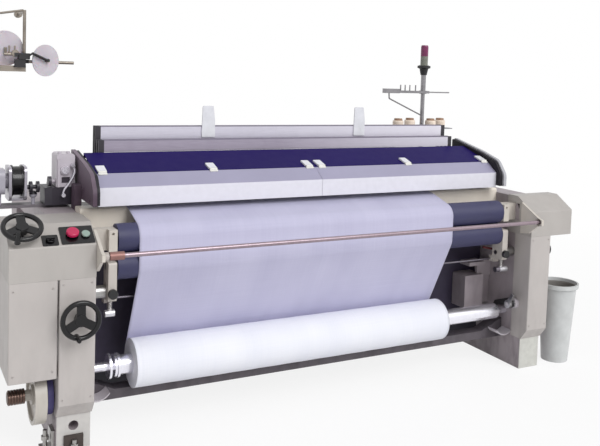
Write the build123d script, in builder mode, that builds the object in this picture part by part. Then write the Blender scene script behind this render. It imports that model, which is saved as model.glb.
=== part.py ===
from build123d import *

import os
from math import asin, atan2, cos, degrees, hypot, radians, sin

# A water jet loom, seen from the weaver's side. X runs across the loom, Y runs back from the
# weaver and Z up from the floor. The origin is on the floor under the middle of the machine.
os.makedirs("parts", exist_ok=True)

# Driving sizes, in millimetres
front_y = -735.0
reed_half = 985.0
frame_gap = 2 * (reed_half + 172)
frame_thick = 134.0
frame_length = 1271.0
frame_height = 933.0
web_thick = 28.0
column_set_back = 49.0
column_depth = 142.0
rear_leg_depth = 170.0
sheet = 4.0
seat_gap = 0.3
shaft_clear = 0.05
bore_depth = 24.0

cover_bottom = 225.0
cover_split = frame_height - 200
cover_edge = frame_height - 66
slope_run = 115.0
bevel_drop = 57.0
door_gap = 6.0
cabinet_width = 183.0
cabinet_depth = 330.0
door_bottom = 342.0
right_overhang = 145.0
right_cover_depth = 190.0

tie_beam_z = 137.0
rear_tie_z = 12.0
tie_beam_height = 43.0
tie_beam_depth = 70.0
rear_tie_y = front_y + 1165.0
front_tie_y = front_y + 200.0
breast_y = front_y + 290.0
breast_depth = 100.0
breast_height = 125.0
cloth_line = frame_height + 24
splash_y = front_y + 402.0
splash_foot = 200.0
splash_thick = 3.0

hood_half = reed_half + 110
hood_front_y = front_y + 230.0
hood_bottom = frame_height + 39
hood_face_height = 80.0
lavender_run = 78.0
lavender_rise = 54.0
navy_run = 212.0
navy_rise = 66.0
lid_split_x = -5.0
lid_gap = 3.0
rim_width = 15.0
rim_proud = 34.0
side_plate_width = 18.0
side_plate_reach = 105.0
side_plate_drop = 30.0
clip_length = 62.0
clip_width = 40.0
clip_thick = 8.0
knuckle_r = 4.5

takeup_r = 60.0
takeup_y = front_y + 152.0
takeup_z = frame_height - 81
press_r = 58.0
roller_gap = 0.6
roller_half = reed_half + 55
roller_shaft_r = 15.0
lever_width = 36.0
lever_inset = 85.0
lever_pivot_z = frame_height - 304

cloth_left = 32 - reed_half
cloth_right = reed_half - 289
cloth_thick = 1.6
roll_r = 105.0
roll_y = front_y + 185.0
roll_z = 291.0
core_r = 42.0
core_left = -(reed_half + 47)
core_right = reed_half + 100
flange_r = 55.0
roll_shaft_r = 20.0

sley_y = front_y + 470.0
rocking_z = 450.0
rocking_r = 24.0
sword_thick = 24.0
reed_foot_z = frame_height - 28
reed_height = 120.0
dent_count = 96

heald_first_y = front_y + 548.0
heald_pitch = 34.0
heald_half = reed_half + 37
heald_depth = 12.0
heald_rail = 56.0
heald_drop = 595.0
heald_top = frame_height + 354
heald_lift = 60.0
stave_width = 26.0
heald_count = 44

beam_y = front_y + 1206.0
beam_z = frame_height / 2 - 36.5
beam_flange_r = frame_height / 2 - 116.5
beam_yarn_r = beam_flange_r - 115
beam_core_r = 85.0
beam_half = reed_half
beam_flange_gap = 14.0
beam_flange_thick = 18.0
beam_shaft_r = 32.0
rest_y = front_y + 1240.0
rest_z = frame_height + 29
rest_r = 48.0
rest_half = reed_half + 25
rest_pin_y = front_y + 1120.0
rest_pin_z = frame_height - 28
lease_y = (front_y + 930.0, front_y + 990.0)
lease_z = frame_height + 25
lease_r = 7.0

drive_y = front_y + 150.0
drive_z = 232.0
flywheel_r = 118.0
drive_pulley_r = 78.0
motor_y = front_y + 405.0
motor_z = 535.0
motor_r = 78.0
motor_pulley_r = 46.0
belt_thick = 8.0

bar_y = front_y - 60.0
bar_z = frame_height - 107
bar_r = 10.0
wheel_r = 80.0

# Places worked out from the sizes above
half_gap = frame_gap / 2
outer_x = half_gap + frame_thick
column_front = front_y + column_set_back
column_rear = column_front + column_depth
frame_rear = column_front + frame_length
cover_half = frame_thick + 2 * (seat_gap + sheet)
cover_inner = half_gap - seat_gap - sheet
cover_outer = cover_inner + cover_half
slope_top = frame_height + sheet
slope = atan2(slope_top - cover_edge, slope_run)
cabinet_left = -(cover_outer + door_gap + cabinet_width)
door_right = -(cover_outer + door_gap)
press_y = takeup_y - 2.0
press_z = takeup_z - takeup_r - press_r - roller_gap
lever_in = roller_half + 4.0
lever_out = lever_in + lever_width
hood_mid_z = hood_bottom + hood_face_height
hinge_y = hood_front_y + lavender_run
hinge_z = hood_mid_z + lavender_rise
navy_rear_y = hinge_y + navy_run
navy_rear_z = hinge_z + navy_rise
rim_out = hood_half + rim_width
side_out = rim_out + side_plate_width
breast_top = cloth_line - cloth_thick


def save(piece, label):
    """Names a finished piece and writes its file."""
    piece.part.label = label
    export_step(piece.part, f"parts/{label}.step")


def block(x, y, z, mode=Mode.ADD):
    """A box between the two ends given on each axis, in the part being made."""
    with Locations((min(x), min(y), min(z))):
        Box(abs(x[1] - x[0]), abs(y[1] - y[0]), abs(z[1] - z[0]), align=(Align.MIN,) * 3, mode=mode)


def bar_x(x, y, z, radius, mode=Mode.ADD):
    """A round bar along X between the two ends given."""
    with BuildSketch(Plane.YZ.offset(x[0])) as section:
        with Locations((y, z)):
            Circle(radius)
    extrude(section.sketch, amount=x[1] - x[0], mode=mode)


def bar_y_way(x, y, z, radius, mode=Mode.ADD):
    """A round bar along Y between the two ends given."""
    with BuildSketch(Plane.XZ.offset(-y[0])) as section:
        with Locations((x, z)):
            Circle(radius)
    extrude(section.sketch, amount=y[0] - y[1], mode=mode)


def bar_up(x, y, z, radius, mode=Mode.ADD):
    """A round bar along Z between the two ends given."""
    with BuildSketch(Plane.XY.offset(z[0])) as section:
        with Locations((x, y)):
            Circle(radius)
    extrude(section.sketch, amount=z[1] - z[0], mode=mode)


def side_shape(x, thick, points, mode=Mode.ADD):
    """A plate that lies in the YZ plane, from its outline's corners."""
    with BuildSketch(Plane.YZ.offset(x)) as section:
        with BuildLine():
            Polyline(*points, close=True)
        make_face()
    extrude(section.sketch, amount=thick, mode=mode)


# Cast side frames: a flat inner web with ribs on the outer side
def side_frame(side, label):
    inner_x = side * half_gap
    mid_foot_y = front_y + 700
    rear_foot_y = frame_rear - rear_leg_depth
    relief = 60
    shoulder = 100
    with BuildPart() as frame:
        outline = [
            (column_front, 0),
            (column_front, cover_split + 60),
            (column_front + shoulder, frame_height),
            (frame_rear - shoulder, frame_height),
            (frame_rear, frame_height - shoulder),
            (frame_rear, 0),
            (rear_foot_y, 0),
            (rear_foot_y - relief, relief),
            (mid_foot_y + relief, relief),
            (mid_foot_y, 0),
        ]
        side_shape(inner_x, side * frame_thick, outline)
        edges = frame.edges().filter_by(Axis.X).group_by(Axis.Z)[-1]
        fillet(edges, 30)
        # Two pockets between the ribs, open to the outside
        rib = 70
        web_x = inner_x + side * web_thick
        pocket = side * (frame_thick - web_thick)
        with BuildSketch(Plane.YZ.offset(web_x)) as pockets:
            for y0, y1, z0 in (
                (column_rear, mid_foot_y - rib, tie_beam_z - 20),
                (mid_foot_y, rear_foot_y, relief + rib),
            ):
                z1 = frame_height - 1.3 * rib
                with Locations(((y0 + y1) / 2, (z0 + z1) / 2)):
                    RectangleRounded(y1 - y0, z1 - z0, 30)
        extrude(pockets.sketch, amount=pocket, mode=Mode.SUBTRACT)
        # A window in the rear web
        with BuildSketch(Plane.YZ.offset(inner_x)) as window:
            with Locations(((mid_foot_y + rear_foot_y) / 2, frame_height * 0.62)):
                RectangleRounded(220, 280, 60)
        extrude(window.sketch, amount=side * web_thick, mode=Mode.SUBTRACT)
        # Bearings for the shafts that cross the loom
        bore_end = inner_x + side * bore_depth
        for y, z, radius in (
            (takeup_y, takeup_z, roller_shaft_r),
            (roll_y, roll_z, roll_shaft_r),
            (sley_y, rocking_z, rocking_r),
            (beam_y, beam_z, beam_shaft_r),
        ):
            bar_x((inner_x, bore_end), y, z, radius + shaft_clear, Mode.SUBTRACT)
        if side < 0:
            # The drive shaft passes right through the left column
            bar_x((inner_x, -outer_x), drive_y, drive_z, drive_shaft_r + shaft_clear, Mode.SUBTRACT)
            # The round eye in the foot and the bearing of the column handwheel
            eye = (column_front, column_front + 60)
            bar_y_way(-column_mid, eye, foot_eye_z, foot_eye_r, Mode.SUBTRACT)
            shaft = (column_front, column_front + bore_depth)
            bar_y_way(-column_mid, shaft, wheel_z, wheel_shaft_r + shaft_clear, Mode.SUBTRACT)
        else:
            knob = (outer_x, outer_x - bore_depth)
            bar_x(knob, side_knob_y, side_knob_z, knob_shaft_r + shaft_clear, Mode.SUBTRACT)
    save(frame, label)


drive_shaft_r = 22.0
column_mid = half_gap + frame_thick / 2
foot_eye_z = 120.0
foot_eye_r = 20.0
wheel_z = cover_split - 150
wheel_shaft_r = 10.0
side_knob_y = front_y + 66.0
side_knob_z = cover_split - 87
knob_shaft_r = 8.0
side_frame(-1, "left_side_frame")
side_frame(1, "right_side_frame")

# Tie beams across the bottom, with tapered ends
with BuildPart() as tie_beams:
    for y, z in ((front_tie_y, tie_beam_z), (rear_tie_y, rear_tie_z)):
        block((-half_gap, half_gap), (y, y + tie_beam_depth), (z, z + tie_beam_height))
        for side in (-1, 1):
            with BuildSketch(Plane.XZ.offset(-y)) as taper:
                with BuildLine():
                    Polyline(
                        (side * half_gap, z + tie_beam_height),
                        (side * half_gap, z + 2.4 * tie_beam_height),
                        (side * (half_gap - 140), z + tie_beam_height),
                        close=True,
                    )
                make_face()
            extrude(taper.sketch, amount=-tie_beam_depth)
    # The dark splash plate between the frames, in front of the sley
    splash_top = breast_top - breast_height - 0.4
    block((-half_gap, half_gap), (splash_y, splash_y + splash_thick), (splash_foot, splash_top))
save(tie_beams, "tie_beams")

# Breast beam, a closed box that the cloth passes over
with BuildPart() as breast_beam:
    with BuildSketch(Plane.YZ.offset(-half_gap)) as section:
        with Locations((breast_y + breast_depth / 2, breast_top - breast_height / 2)):
            RectangleRounded(breast_depth, breast_height, 12)
    extrude(section.sketch, amount=frame_gap)
save(breast_beam, "breast_beam")

# Sheet covers round the two front columns
latch_y = roll_y - 95
latch_z = roll_z + 62
latch_boss_r = 26.0
with BuildPart() as column_covers:
    cover_rear = front_y + 120
    for side in (-1, 1):
        with BuildPart(mode=Mode.PRIVATE) as cover:
            bevel_bottom = cover_bottom - bevel_drop
            outline = [
                (front_y, cover_bottom),
                (front_y, cover_split),
                (cover_rear, cover_split),
                (cover_rear, bevel_bottom),
                (column_front - 1.5 * sheet, bevel_bottom),
            ]
            side_shape(side * cover_inner, side * cover_half, outline)
            fillet(cover.edges().filter_by(Axis.Z).group_by(Axis.Y)[0], 6)
            open_faces = [
                cover.faces().sort_by(Axis.Y)[-1],
                cover.faces().sort_by(Axis.Z)[-1],
                cover.faces().filter_by(Axis.Z).sort_by(Axis.Z)[0],
            ]
            offset(amount=-sheet, openings=open_faces)
            if side < 0:
                # The handwheel's shaft passes through the front
                bar_y_way(-column_mid, (front_y - 1, front_y + sheet + 1), wheel_z, wheel_shaft_r + 1, Mode.SUBTRACT)
            else:
                # The latch boss and the side knob's shaft pass through the sides
                bar_x((cover_inner - 1, half_gap), latch_y, latch_z, latch_boss_r + seat_gap, Mode.SUBTRACT)
                bar_x((outer_x, cover_outer + 1), side_knob_y, side_knob_z, knob_shaft_r + 1, Mode.SUBTRACT)
        add(cover.part)
save(column_covers, "column_covers")

# The screwed door beside the left column
with BuildPart() as left_door:
    block((cabinet_left, door_right), (front_y, front_y + cabinet_depth), (door_bottom, cover_split))
    fillet(left_door.edges().filter_by(Axis.Z).group_by(Axis.Y)[0], 6)
    open_faces = [
        left_door.faces().sort_by(Axis.Y)[-1],
        left_door.faces().sort_by(Axis.Z)[-1],
        left_door.faces().sort_by(Axis.Z)[0],
    ]
    offset(amount=-sheet, openings=open_faces)
    # The inner wall is only a folded edge
    right_wall = (door_right - sheet - 1, door_right + 1)
    block(right_wall, (front_y + 25, front_y + cabinet_depth + 1), (door_bottom - 1, cover_split + 1), Mode.SUBTRACT)
save(left_door, "left_door")


# Top covers with the sloped control desk
def top_cover(inner_x, far_x, depth):
    with BuildPart(mode=Mode.PRIVATE) as cover:
        rear = front_y + depth
        outline = [
            (front_y, cover_split),
            (front_y, cover_edge),
            (front_y + slope_run, slope_top),
            (rear, slope_top),
            (rear, cover_split),
        ]
        side_shape(inner_x, far_x - inner_x, outline)
        fillet(cover.edges().filter_by(Axis.X).group_by(Axis.Z)[1:], 8)
        offset(amount=-sheet, openings=cover.faces().sort_by(Axis.Z)[0])
        # The rear wall is cut out round the side frame
        side = 1 if inner_x > 0 else -1
        frame_x = (side * (half_gap - seat_gap), side * (outer_x + seat_gap))
        block(frame_x, (rear - 2 * sheet, rear + 1), (cover_split - 1, frame_height), Mode.SUBTRACT)
        # The inner wall is cut out round the roller bracket and the breast beam
        wall = (side * (cover_inner - 1), side * half_gap)
        around = (takeup_y - bracket_front - seat_gap, takeup_y + bracket_rear + seat_gap)
        height = (takeup_z - bracket_low - seat_gap, takeup_z + bracket_high + seat_gap)
        block(wall, around, height, Mode.SUBTRACT)
        if depth > breast_y - front_y:
            beam_z_range = (breast_top - breast_height - seat_gap, slope_top + 1)
            block(wall, (breast_y - seat_gap, rear + 1), beam_z_range, Mode.SUBTRACT)
        if side < 0:
            for x, distance, radius in desk_holes:
                with BuildSketch(desk(x, distance)) as hole:
                    Circle(radius)
                extrude(hole.sketch, amount=10, both=True, mode=Mode.SUBTRACT)
    return cover.part


def desk(x, distance, height=0.0):
    """A plane on the sloped desk: distance is measured up the slope from its front edge."""
    y = front_y + distance * cos(slope) - height * sin(slope)
    z = cover_edge + distance * sin(slope) + height * cos(slope)
    return Plane(origin=(x, y, z), x_dir=(1, 0, 0), z_dir=(0, -sin(slope), cos(slope)))


bracket_front = 54.0
bracket_rear = 26.0
bracket_low = 46.0
bracket_high = 44.0
stop_x = -column_mid - 16
stop_up = 57.0
start_x = -column_mid + 35
start_up = 51.0
mode_x = -column_mid - 104
mode_up = 34.0
desk_wheel_x = -column_mid - 207
desk_wheel_up = 73.0
desk_wheel_height = 45.0
button_stem_r = 9.0
plate_thick = 4.0
desk_holes = (
    (stop_x, stop_up, button_stem_r + 1),
    (start_x, start_up, button_stem_r + 1),
    (mode_x, mode_up, button_stem_r + 1),
    (desk_wheel_x, desk_wheel_up, wheel_shaft_r + shaft_clear),
)
with BuildPart() as top_covers:
    add(top_cover(-cover_inner, cabinet_left, cabinet_depth))
    add(top_cover(cover_inner, cover_outer + right_overhang, right_cover_depth))
save(top_covers, "top_covers")

# Two black plates on the desk, for the buttons and for the mode switch
with BuildPart() as panel_plates:
    for x, up, width, length in ((2 - column_mid, 56.0, 130.0, 98.0), (mode_x, mode_up, 61.0, 58.0)):
        with BuildSketch(desk(x, up)) as plate:
            RectangleRounded(width, length, 5)
        extrude(plate.sketch, amount=plate_thick)
    for x, up, radius in desk_holes[:3]:
        with BuildSketch(desk(x, up)) as hole:
            Circle(button_stem_r + shaft_clear)
        extrude(hole.sketch, amount=plate_thick, mode=Mode.SUBTRACT)
save(panel_plates, "panel_plates")


# Buttons: a stem in the plate and a cap above it
def desk_button(x, up, cap_r, cap_height, travel, label):
    with BuildPart() as button:
        with BuildSketch(desk(x, up, -2 * sheet)) as stem:
            Circle(button_stem_r)
        extrude(stem.sketch, amount=2 * sheet + plate_thick + travel + 1)
        with BuildSketch(desk(x, up, plate_thick + travel + 1)) as cap:
            Circle(cap_r)
        extrude(cap.sketch, amount=cap_height)
        rim = button.edges().filter_by(GeomType.CIRCLE).sort_by(Axis.Z)[-1]
        fillet(rim, cap_height * 0.45)
    save(button, label)


stop_travel = 6.0
start_travel = 3.0
desk_button(stop_x, stop_up, 25, 14, stop_travel, "stop_button")
desk_button(start_x, start_up, 17, 8, start_travel, "start_button")

# The turning mode switch with its finger bar
with BuildPart() as mode_switch:
    with BuildSketch(desk(mode_x, mode_up, -2 * sheet)) as stem:
        Circle(button_stem_r)
    extrude(stem.sketch, amount=2 * sheet + plate_thick + 1)
    with BuildSketch(desk(mode_x, mode_up, plate_thick + 1)) as dial:
        Circle(17)
    extrude(dial.sketch, amount=6)
    with BuildSketch(desk(mode_x, mode_up, plate_thick + 7)) as finger_bar:
        SlotOverall(32, 9)
    extrude(finger_bar.sketch, amount=8)
save(mode_switch, "mode_switch")


# Dished handwheels: a round rim, three broad spokes, a hub, a shaft and a cone grip
def handwheel(plane, reach, grip, label):
    rim_r = 10.0
    spoke_r = wheel_r - rim_r
    with BuildPart(plane) as wheel:
        Torus(spoke_r, rim_r)
        with Locations((0, 0, -8)):
            Cylinder(24, 30)
        with BuildSketch(plane.offset(-6)) as web:
            with PolarLocations(0, 3, start_angle=90):
                with Locations((spoke_r / 2, 0)):
                    Rectangle(spoke_r, 34)
        extrude(web.sketch, amount=9)
        with BuildSketch(plane.offset(-reach)) as shaft:
            Circle(wheel_shaft_r)
        extrude(shaft.sketch, amount=reach - 20)
        with Locations((grip[0], grip[1], 10)):
            Cone(12, 8, 58)
    save(wheel, label)


column_wheel_height = 62.0
column_wheel_plane = Plane(origin=(-column_mid, front_y - column_wheel_height, wheel_z), x_dir=(1, 0, 0), z_dir=(0, -1, 0))
column_wheel_reach = column_wheel_height + column_set_back + bore_depth - 2
handwheel(column_wheel_plane, column_wheel_reach, (-14, -68), "column_handwheel")
handwheel(desk(desk_wheel_x, desk_wheel_up, desk_wheel_height), desk_wheel_height + 12, (-24, -66), "desk_handwheel")

# The round black knob on the outer side of the right frame
with BuildPart() as side_knob:
    bar_x((outer_x - bore_depth + 2, outer_x + 30), side_knob_y, side_knob_z, knob_shaft_r)
    bar_x((outer_x + 14, outer_x + 44), side_knob_y, side_knob_z, 38)
    fillet(side_knob.edges().filter_by(GeomType.CIRCLE).sort_by(Axis.X)[-1], 8)
save(side_knob, "side_knob")

# Hood side plates: grey outside, with a black rim inside that stands over the covers
rim_front = hood_front_y - rim_proud
plate_front = hood_front_y - 46


def hood_outline(front, proud, reach, drop):
    """The arched outline of a side plate, proud of the hood's surface and lower by a drop at the rear."""
    corner = hinge_z - 16 + proud - drop / 4
    return [
        (front, hood_bottom + 10),
        (front, hood_mid_z - 6),
        (hood_front_y + 12, corner),
        (hinge_y + 60, hinge_z + 20 + proud - drop / 2),
        (navy_rear_y + reach, navy_rear_z + 20 + proud * 0.6 - drop),
        (navy_rear_y + reach, navy_rear_z - 60),
        (hinge_y + 150, hood_bottom + 10),
    ]


with BuildPart() as hood_sides:
    for side in (-1, 1):
        for x, width, front, proud in (
            (hood_half, rim_width, rim_front, 22.0),
            (rim_out + seat_gap, side_plate_width, plate_front, 30.0),
        ):
            with BuildSketch(Plane.YZ.offset(side * x)) as plate:
                with BuildLine() as edge:
                    points = hood_outline(front, proud, side_plate_reach, side_plate_drop if side < 0 else 0)
                    FilletPolyline(*points, radius=[1, 45, 60, 200, 8, 60, 1], close=True)
                make_face()
            extrude(plate.sketch, amount=side * width)
        # The foot that is bolted to the side frame
        foot_y = (front_y + 395, front_y + 470)
        block((side * side_out, side * half_gap), foot_y, (frame_height - 90, frame_height + 110))
save(hood_sides, "hood_sides")

# Fixed navy cover behind the lids, resting on ledges of the side plates
with BuildPart() as navy_cover:
    with BuildSketch(Plane.YZ.offset(-hood_half + seat_gap)) as section:
        with BuildLine() as edge:
            Polyline(
                (hinge_y + 2, hinge_z - 22),
                (hinge_y + 2, hinge_z),
                (navy_rear_y, navy_rear_z),
                (navy_rear_y, navy_rear_z - 24),
                (navy_rear_y - 3, navy_rear_z - 24),
                (navy_rear_y - 3, navy_rear_z - 4),
                (hinge_y + 5, hinge_z - 3),
                (hinge_y + 5, hinge_z - 22),
                close=True,
            )
        make_face()
    extrude(section.sketch, amount=2 * (hood_half - seat_gap))
save(navy_cover, "navy_cover")


# The hinge line stands over the edge between the lids and the fixed cover
lid_angle = atan2(lavender_rise, lavender_run)
navy_angle = atan2(navy_rise, navy_run)
hinge_up = knuckle_r + 1.0
knuckle_y = hinge_y - hinge_up * sin((lid_angle + navy_angle) / 2)
knuckle_z = hinge_z + hinge_up * cos((lid_angle + navy_angle) / 2)
left_clips = (35 - hood_half, 1.5 - hood_half / 2, -40.0)
right_clips = (30.0, hood_half / 2 + 4.5, hood_half - 29)


def clip_block(x, start, end, angle, height, sink=0.0):
    """A block on the hood's surface: start and end are measured along it from the hinge edge."""
    origin = (x, hinge_y + (start + end) / 2 * cos(angle), hinge_z + (start + end) / 2 * sin(angle))
    surface = Plane(origin=origin, x_dir=(1, 0, 0), z_dir=(0, -sin(angle), cos(angle)))
    with BuildSketch(surface.offset(-sink)) as clip:
        RectangleRounded(clip_width, abs(end - start), 4)
    extrude(clip.sketch, amount=height + sink)


# White hinge leaves on the fixed navy cover
with BuildPart() as hinge_leaves:
    for x in left_clips + right_clips:
        clip_block(x, 6, clip_length, navy_angle, clip_thick)
save(hinge_leaves, "hinge_leaves")


# Lids: a white front face folded into the lavender slope, with three hinge knuckles
def lid(x, clips, label):
    with BuildPart() as cover:
        rear = (hinge_y - 3 * cos(lid_angle), hinge_z - 3 * sin(lid_angle))
        section = [
            (hood_front_y, hood_bottom),
            (hood_front_y, hood_mid_z),
            rear,
            (rear[0] + 1.7, rear[1] - 2.5),
            (hood_front_y + 3, hood_mid_z - 1.6),
            (hood_front_y + 3, hood_bottom + 3),
            (hood_front_y + 14, hood_bottom + 3),
            (hood_front_y + 14, hood_bottom),
        ]
        side_shape(x[0], x[1] - x[0], section)
        for clip_x in clips:
            clip_block(clip_x, -15, -3.5, lid_angle, hinge_up, 1.5)
            ends = (clip_x - clip_width / 2 + 2, clip_x + clip_width / 2 - 2)
            bar_x(ends, knuckle_y, knuckle_z, knuckle_r)
    save(cover, label)


lid_ends = (-hood_half + seat_gap, lid_split_x - lid_gap / 2, lid_split_x + lid_gap / 2, hood_half - seat_gap)
lid((lid_ends[0], lid_ends[1]), left_clips, "left_lid")
lid((lid_ends[2], lid_ends[3]), right_clips, "right_lid")

# Take-up roller and, under it, the press roller carried by two levers
with BuildPart() as take_up_roller:
    bar_x((-roller_half, roller_half), takeup_y, takeup_z, takeup_r)
    end = half_gap + bore_depth - 2
    bar_x((-end, end), takeup_y, takeup_z, roller_shaft_r)
save(take_up_roller, "take_up_roller")

with BuildPart() as press_roller:
    bar_x((-roller_half, roller_half), press_y, press_z, press_r)
    bar_x((-lever_out, lever_out), press_y, press_z, roller_shaft_r)
save(press_roller, "press_roller")

lever_front = press_y - 52
lever_rear = press_y + 26
pin_r = 12.0
with BuildPart() as press_levers:
    for side in (-1, 1):
        x = (side * lever_in, side * lever_out)
        with BuildSketch(Plane.YZ.offset(x[0])) as lever:
            with BuildLine():
                FilletPolyline(
                    (lever_front, lever_pivot_z - 34),
                    (lever_front, press_z + 26),
                    (lever_rear, press_z + 26),
                    (lever_rear, lever_pivot_z - 34),
                    radius=10,
                    close=True,
                )
            make_face()
        extrude(lever.sketch, amount=x[1] - x[0])
        mid = (x[0] + x[1]) / 2
        # The black clamp knob, the spring rod and its end cap
        knob_y = (lever_front - 18, lever_front)
        bar_y_way(mid, knob_y, lever_pivot_z, 20)
        bar_up(mid - 6, lever_front + 20, (lever_pivot_z - 74, lever_pivot_z - 34), 8)
        cap = (mid - 26, mid + 14) if side < 0 else (mid - 45, mid + 32)
        bar_x(cap, lever_front + 20, lever_pivot_z - 86, 15)
        bar_x(x, press_y, press_z, roller_shaft_r + shaft_clear, Mode.SUBTRACT)
        bar_x(x, press_y, lever_pivot_z, pin_r + shaft_clear, Mode.SUBTRACT)
        # An arm behind the lever carries the cross rod, which runs behind the cloth
        block(x, (lever_rear - 12, lever_rear + 24), (lever_pivot_z - 56, lever_pivot_z - 24))
    bar_x((-lever_in, lever_in), lever_rear + 14, lever_pivot_z - 44, 5)
save(press_levers, "press_levers")

# Cream blocks that carry the take-up roller's ends, bolted to the side frames
with BuildPart() as roller_brackets:
    for side in (-1, 1):
        height = (takeup_z - bracket_low, takeup_z + bracket_high)
        block((side * lever_in, side * lever_out), (takeup_y - bracket_front, takeup_y + bracket_rear), height)
        block((side * lever_out, side * half_gap), (takeup_y - 20, takeup_y + bracket_rear), height)
        bar_x((side * lever_in, side * half_gap), takeup_y, takeup_z, roller_shaft_r + 1, Mode.SUBTRACT)
        bar_y_way(side * (lever_in + lever_width / 2), (takeup_y - 55, takeup_y - 40), takeup_z + 28, 5, Mode.SUBTRACT)
save(roller_brackets, "roller_brackets")

# Fixed pins for the press levers and for the back rest levers
rest_lever_thick = 24.0
with BuildPart() as lever_pins:
    for side in (-1, 1):
        bar_x((side * lever_in, side * half_gap), press_y, lever_pivot_z, pin_r)
        bar_x((side * (lever_out + 1), side * half_gap), press_y, lever_pivot_z, 28)
        bar_x((side * (rest_half + 6), side * half_gap), rest_pin_y, rest_pin_z, pin_r)
        bar_x((side * (rest_half + 7 + rest_lever_thick), side * half_gap), rest_pin_y, rest_pin_z, 26)
        # A stand on the frame's top carries the two lease rods
        stand_x = (side * (half_gap + 2), side * (half_gap + 12))
        block(stand_x, (lease_y[0] - 20, lease_y[1] + 20), (frame_height, lease_z + 16))
    for y in lease_y:
        bar_x((-half_gap - 12, half_gap + 12), y, lease_z, lease_r)
    # The release rod beside the right press lever, on a boss of the frame
    rod_y = front_y + 200
    bar_x((half_gap - 56, half_gap), rod_y, lever_pivot_z - 4, 9)
    rod_start = (half_gap - 46, rod_y, lever_pivot_z - 4)
    rod_run = Vector(half_gap - 158, rod_y, lever_pivot_z + 21) - Vector(*rod_start)
    with BuildSketch(Plane(origin=rod_start, z_dir=rod_run)) as rod:
        Circle(6)
    extrude(rod.sketch, amount=rod_run.length)
save(lever_pins, "lever_pins")

# Cloth from the breast beam over both rollers to the back of the cloth roll
cloth_off = 0.5 + cloth_thick / 2
edge_r = 12.0


def touch(c1, r1, c2, r2):
    """Ends of the straight run from one circle to the next: a radius is positive where the
    circle lies to the left of the run, and negative where it lies to the right."""
    run = hypot(c2[0] - c1[0], c2[1] - c1[1])
    angle = atan2(c2[1] - c1[1], c2[0] - c1[0]) - asin((r2 - r1) / run)
    left = (-sin(angle), cos(angle))
    return (c1[0] - r1 * left[0], c1[1] - r1 * left[1]), (c2[0] - r2 * left[0], c2[1] - r2 * left[1])


def wrap(centre, start, end, turn):
    """The arc round a circle from one touching point to the next."""
    first = degrees(atan2(start[1] - centre[1], start[0] - centre[0]))
    last = degrees(atan2(end[1] - centre[1], end[0] - centre[0]))
    sweep_angle = (last - first) % 360 if turn > 0 else -((first - last) % 360)
    CenterArc(centre, hypot(start[0] - centre[0], start[1] - centre[1]), first, sweep_angle)


with BuildPart() as cloth:
    with BuildSketch(Plane.YZ.offset(cloth_left)) as section:
        with BuildLine() as path:
            corner = (breast_y + edge_r, breast_top - edge_r)
            corner_r = edge_r + cloth_thick / 2 + 0.05
            upper = (takeup_y, takeup_z)
            lower = (press_y, press_z)
            roll = (roll_y, roll_z)
            a0, a1 = touch(corner, corner_r, upper, takeup_r + cloth_off)
            b0, b1 = touch(upper, takeup_r + cloth_off, lower, press_r + cloth_off)
            c0, c1 = touch(lower, press_r + cloth_off, roll, -(roll_r + cloth_off))
            top = (corner[0], corner[1] + corner_r)
            Line((breast_y + breast_depth, top[1]), top)
            wrap(corner, top, a0, 1)
            Line(a0, a1)
            wrap(upper, a1, b0, 1)
            Line(b0, b1)
            wrap(lower, b1, c0, 1)
            Line(c0, c1)
            wrap(roll, c1, (roll_y + roll_r, roll_z - 40), -1)
        trace(path.line, line_width=cloth_thick)
    extrude(section.sketch, amount=cloth_right - cloth_left)
    # The warp sheet from the wound beam over the back rest and the lease rods to the heald frames
    with BuildSketch(Plane.YZ.offset(cloth_left)) as section:
        with BuildLine() as path:
            wound = (beam_y, beam_z)
            rest = (rest_y, rest_z)
            swung = (rest_y + 4.5, rest_z - 10.7)
            warp_z = lease_z + lease_r + 0.7 + cloth_thick / 2
            a0, a1 = touch(wound, beam_yarn_r + cloth_off, swung, rest_r + cloth_off)
            b0, b1 = touch(swung, rest_r + cloth_off, rest, rest_r + cloth_off)
            c0, c1 = touch(rest, rest_r + cloth_off, (lease_y[1], warp_z), 0)
            Line(a0, a1)
            wrap(swung, a1, b0, 1)
            Line(b0, b1)
            wrap(rest, b1, c0, 1)
            FilletPolyline(c0, c1, (heald_first_y + 3 * heald_pitch + 18, warp_z), radius=60)
        trace(path.line, line_width=cloth_thick)
    extrude(section.sketch, amount=cloth_right - cloth_left)
save(cloth, "cloth")

with BuildPart() as cloth_roll:
    bar_x((cloth_left, cloth_right), roll_y, roll_z, roll_r)
    bar_x((cloth_left, cloth_right), roll_y, roll_z, core_r, Mode.SUBTRACT)
save(cloth_roll, "cloth_roll")

# Core tube of the roll with its left flange, end shaft and right neck
with BuildPart() as roll_core:
    bar_x((core_left, core_right), roll_y, roll_z, core_r)
    for start, radius in ((core_left - 24, flange_r), (core_left, flange_r - 6), (core_left + 12, flange_r - 2)):
        bar_x((start, start + 10), roll_y, roll_z, radius)
    end = half_gap + bore_depth - 2
    bar_x((-end, core_left), roll_y, roll_z, roll_shaft_r)
    bar_x((core_right, end), roll_y, roll_z, roll_shaft_r)
save(roll_core, "roll_core")

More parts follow.
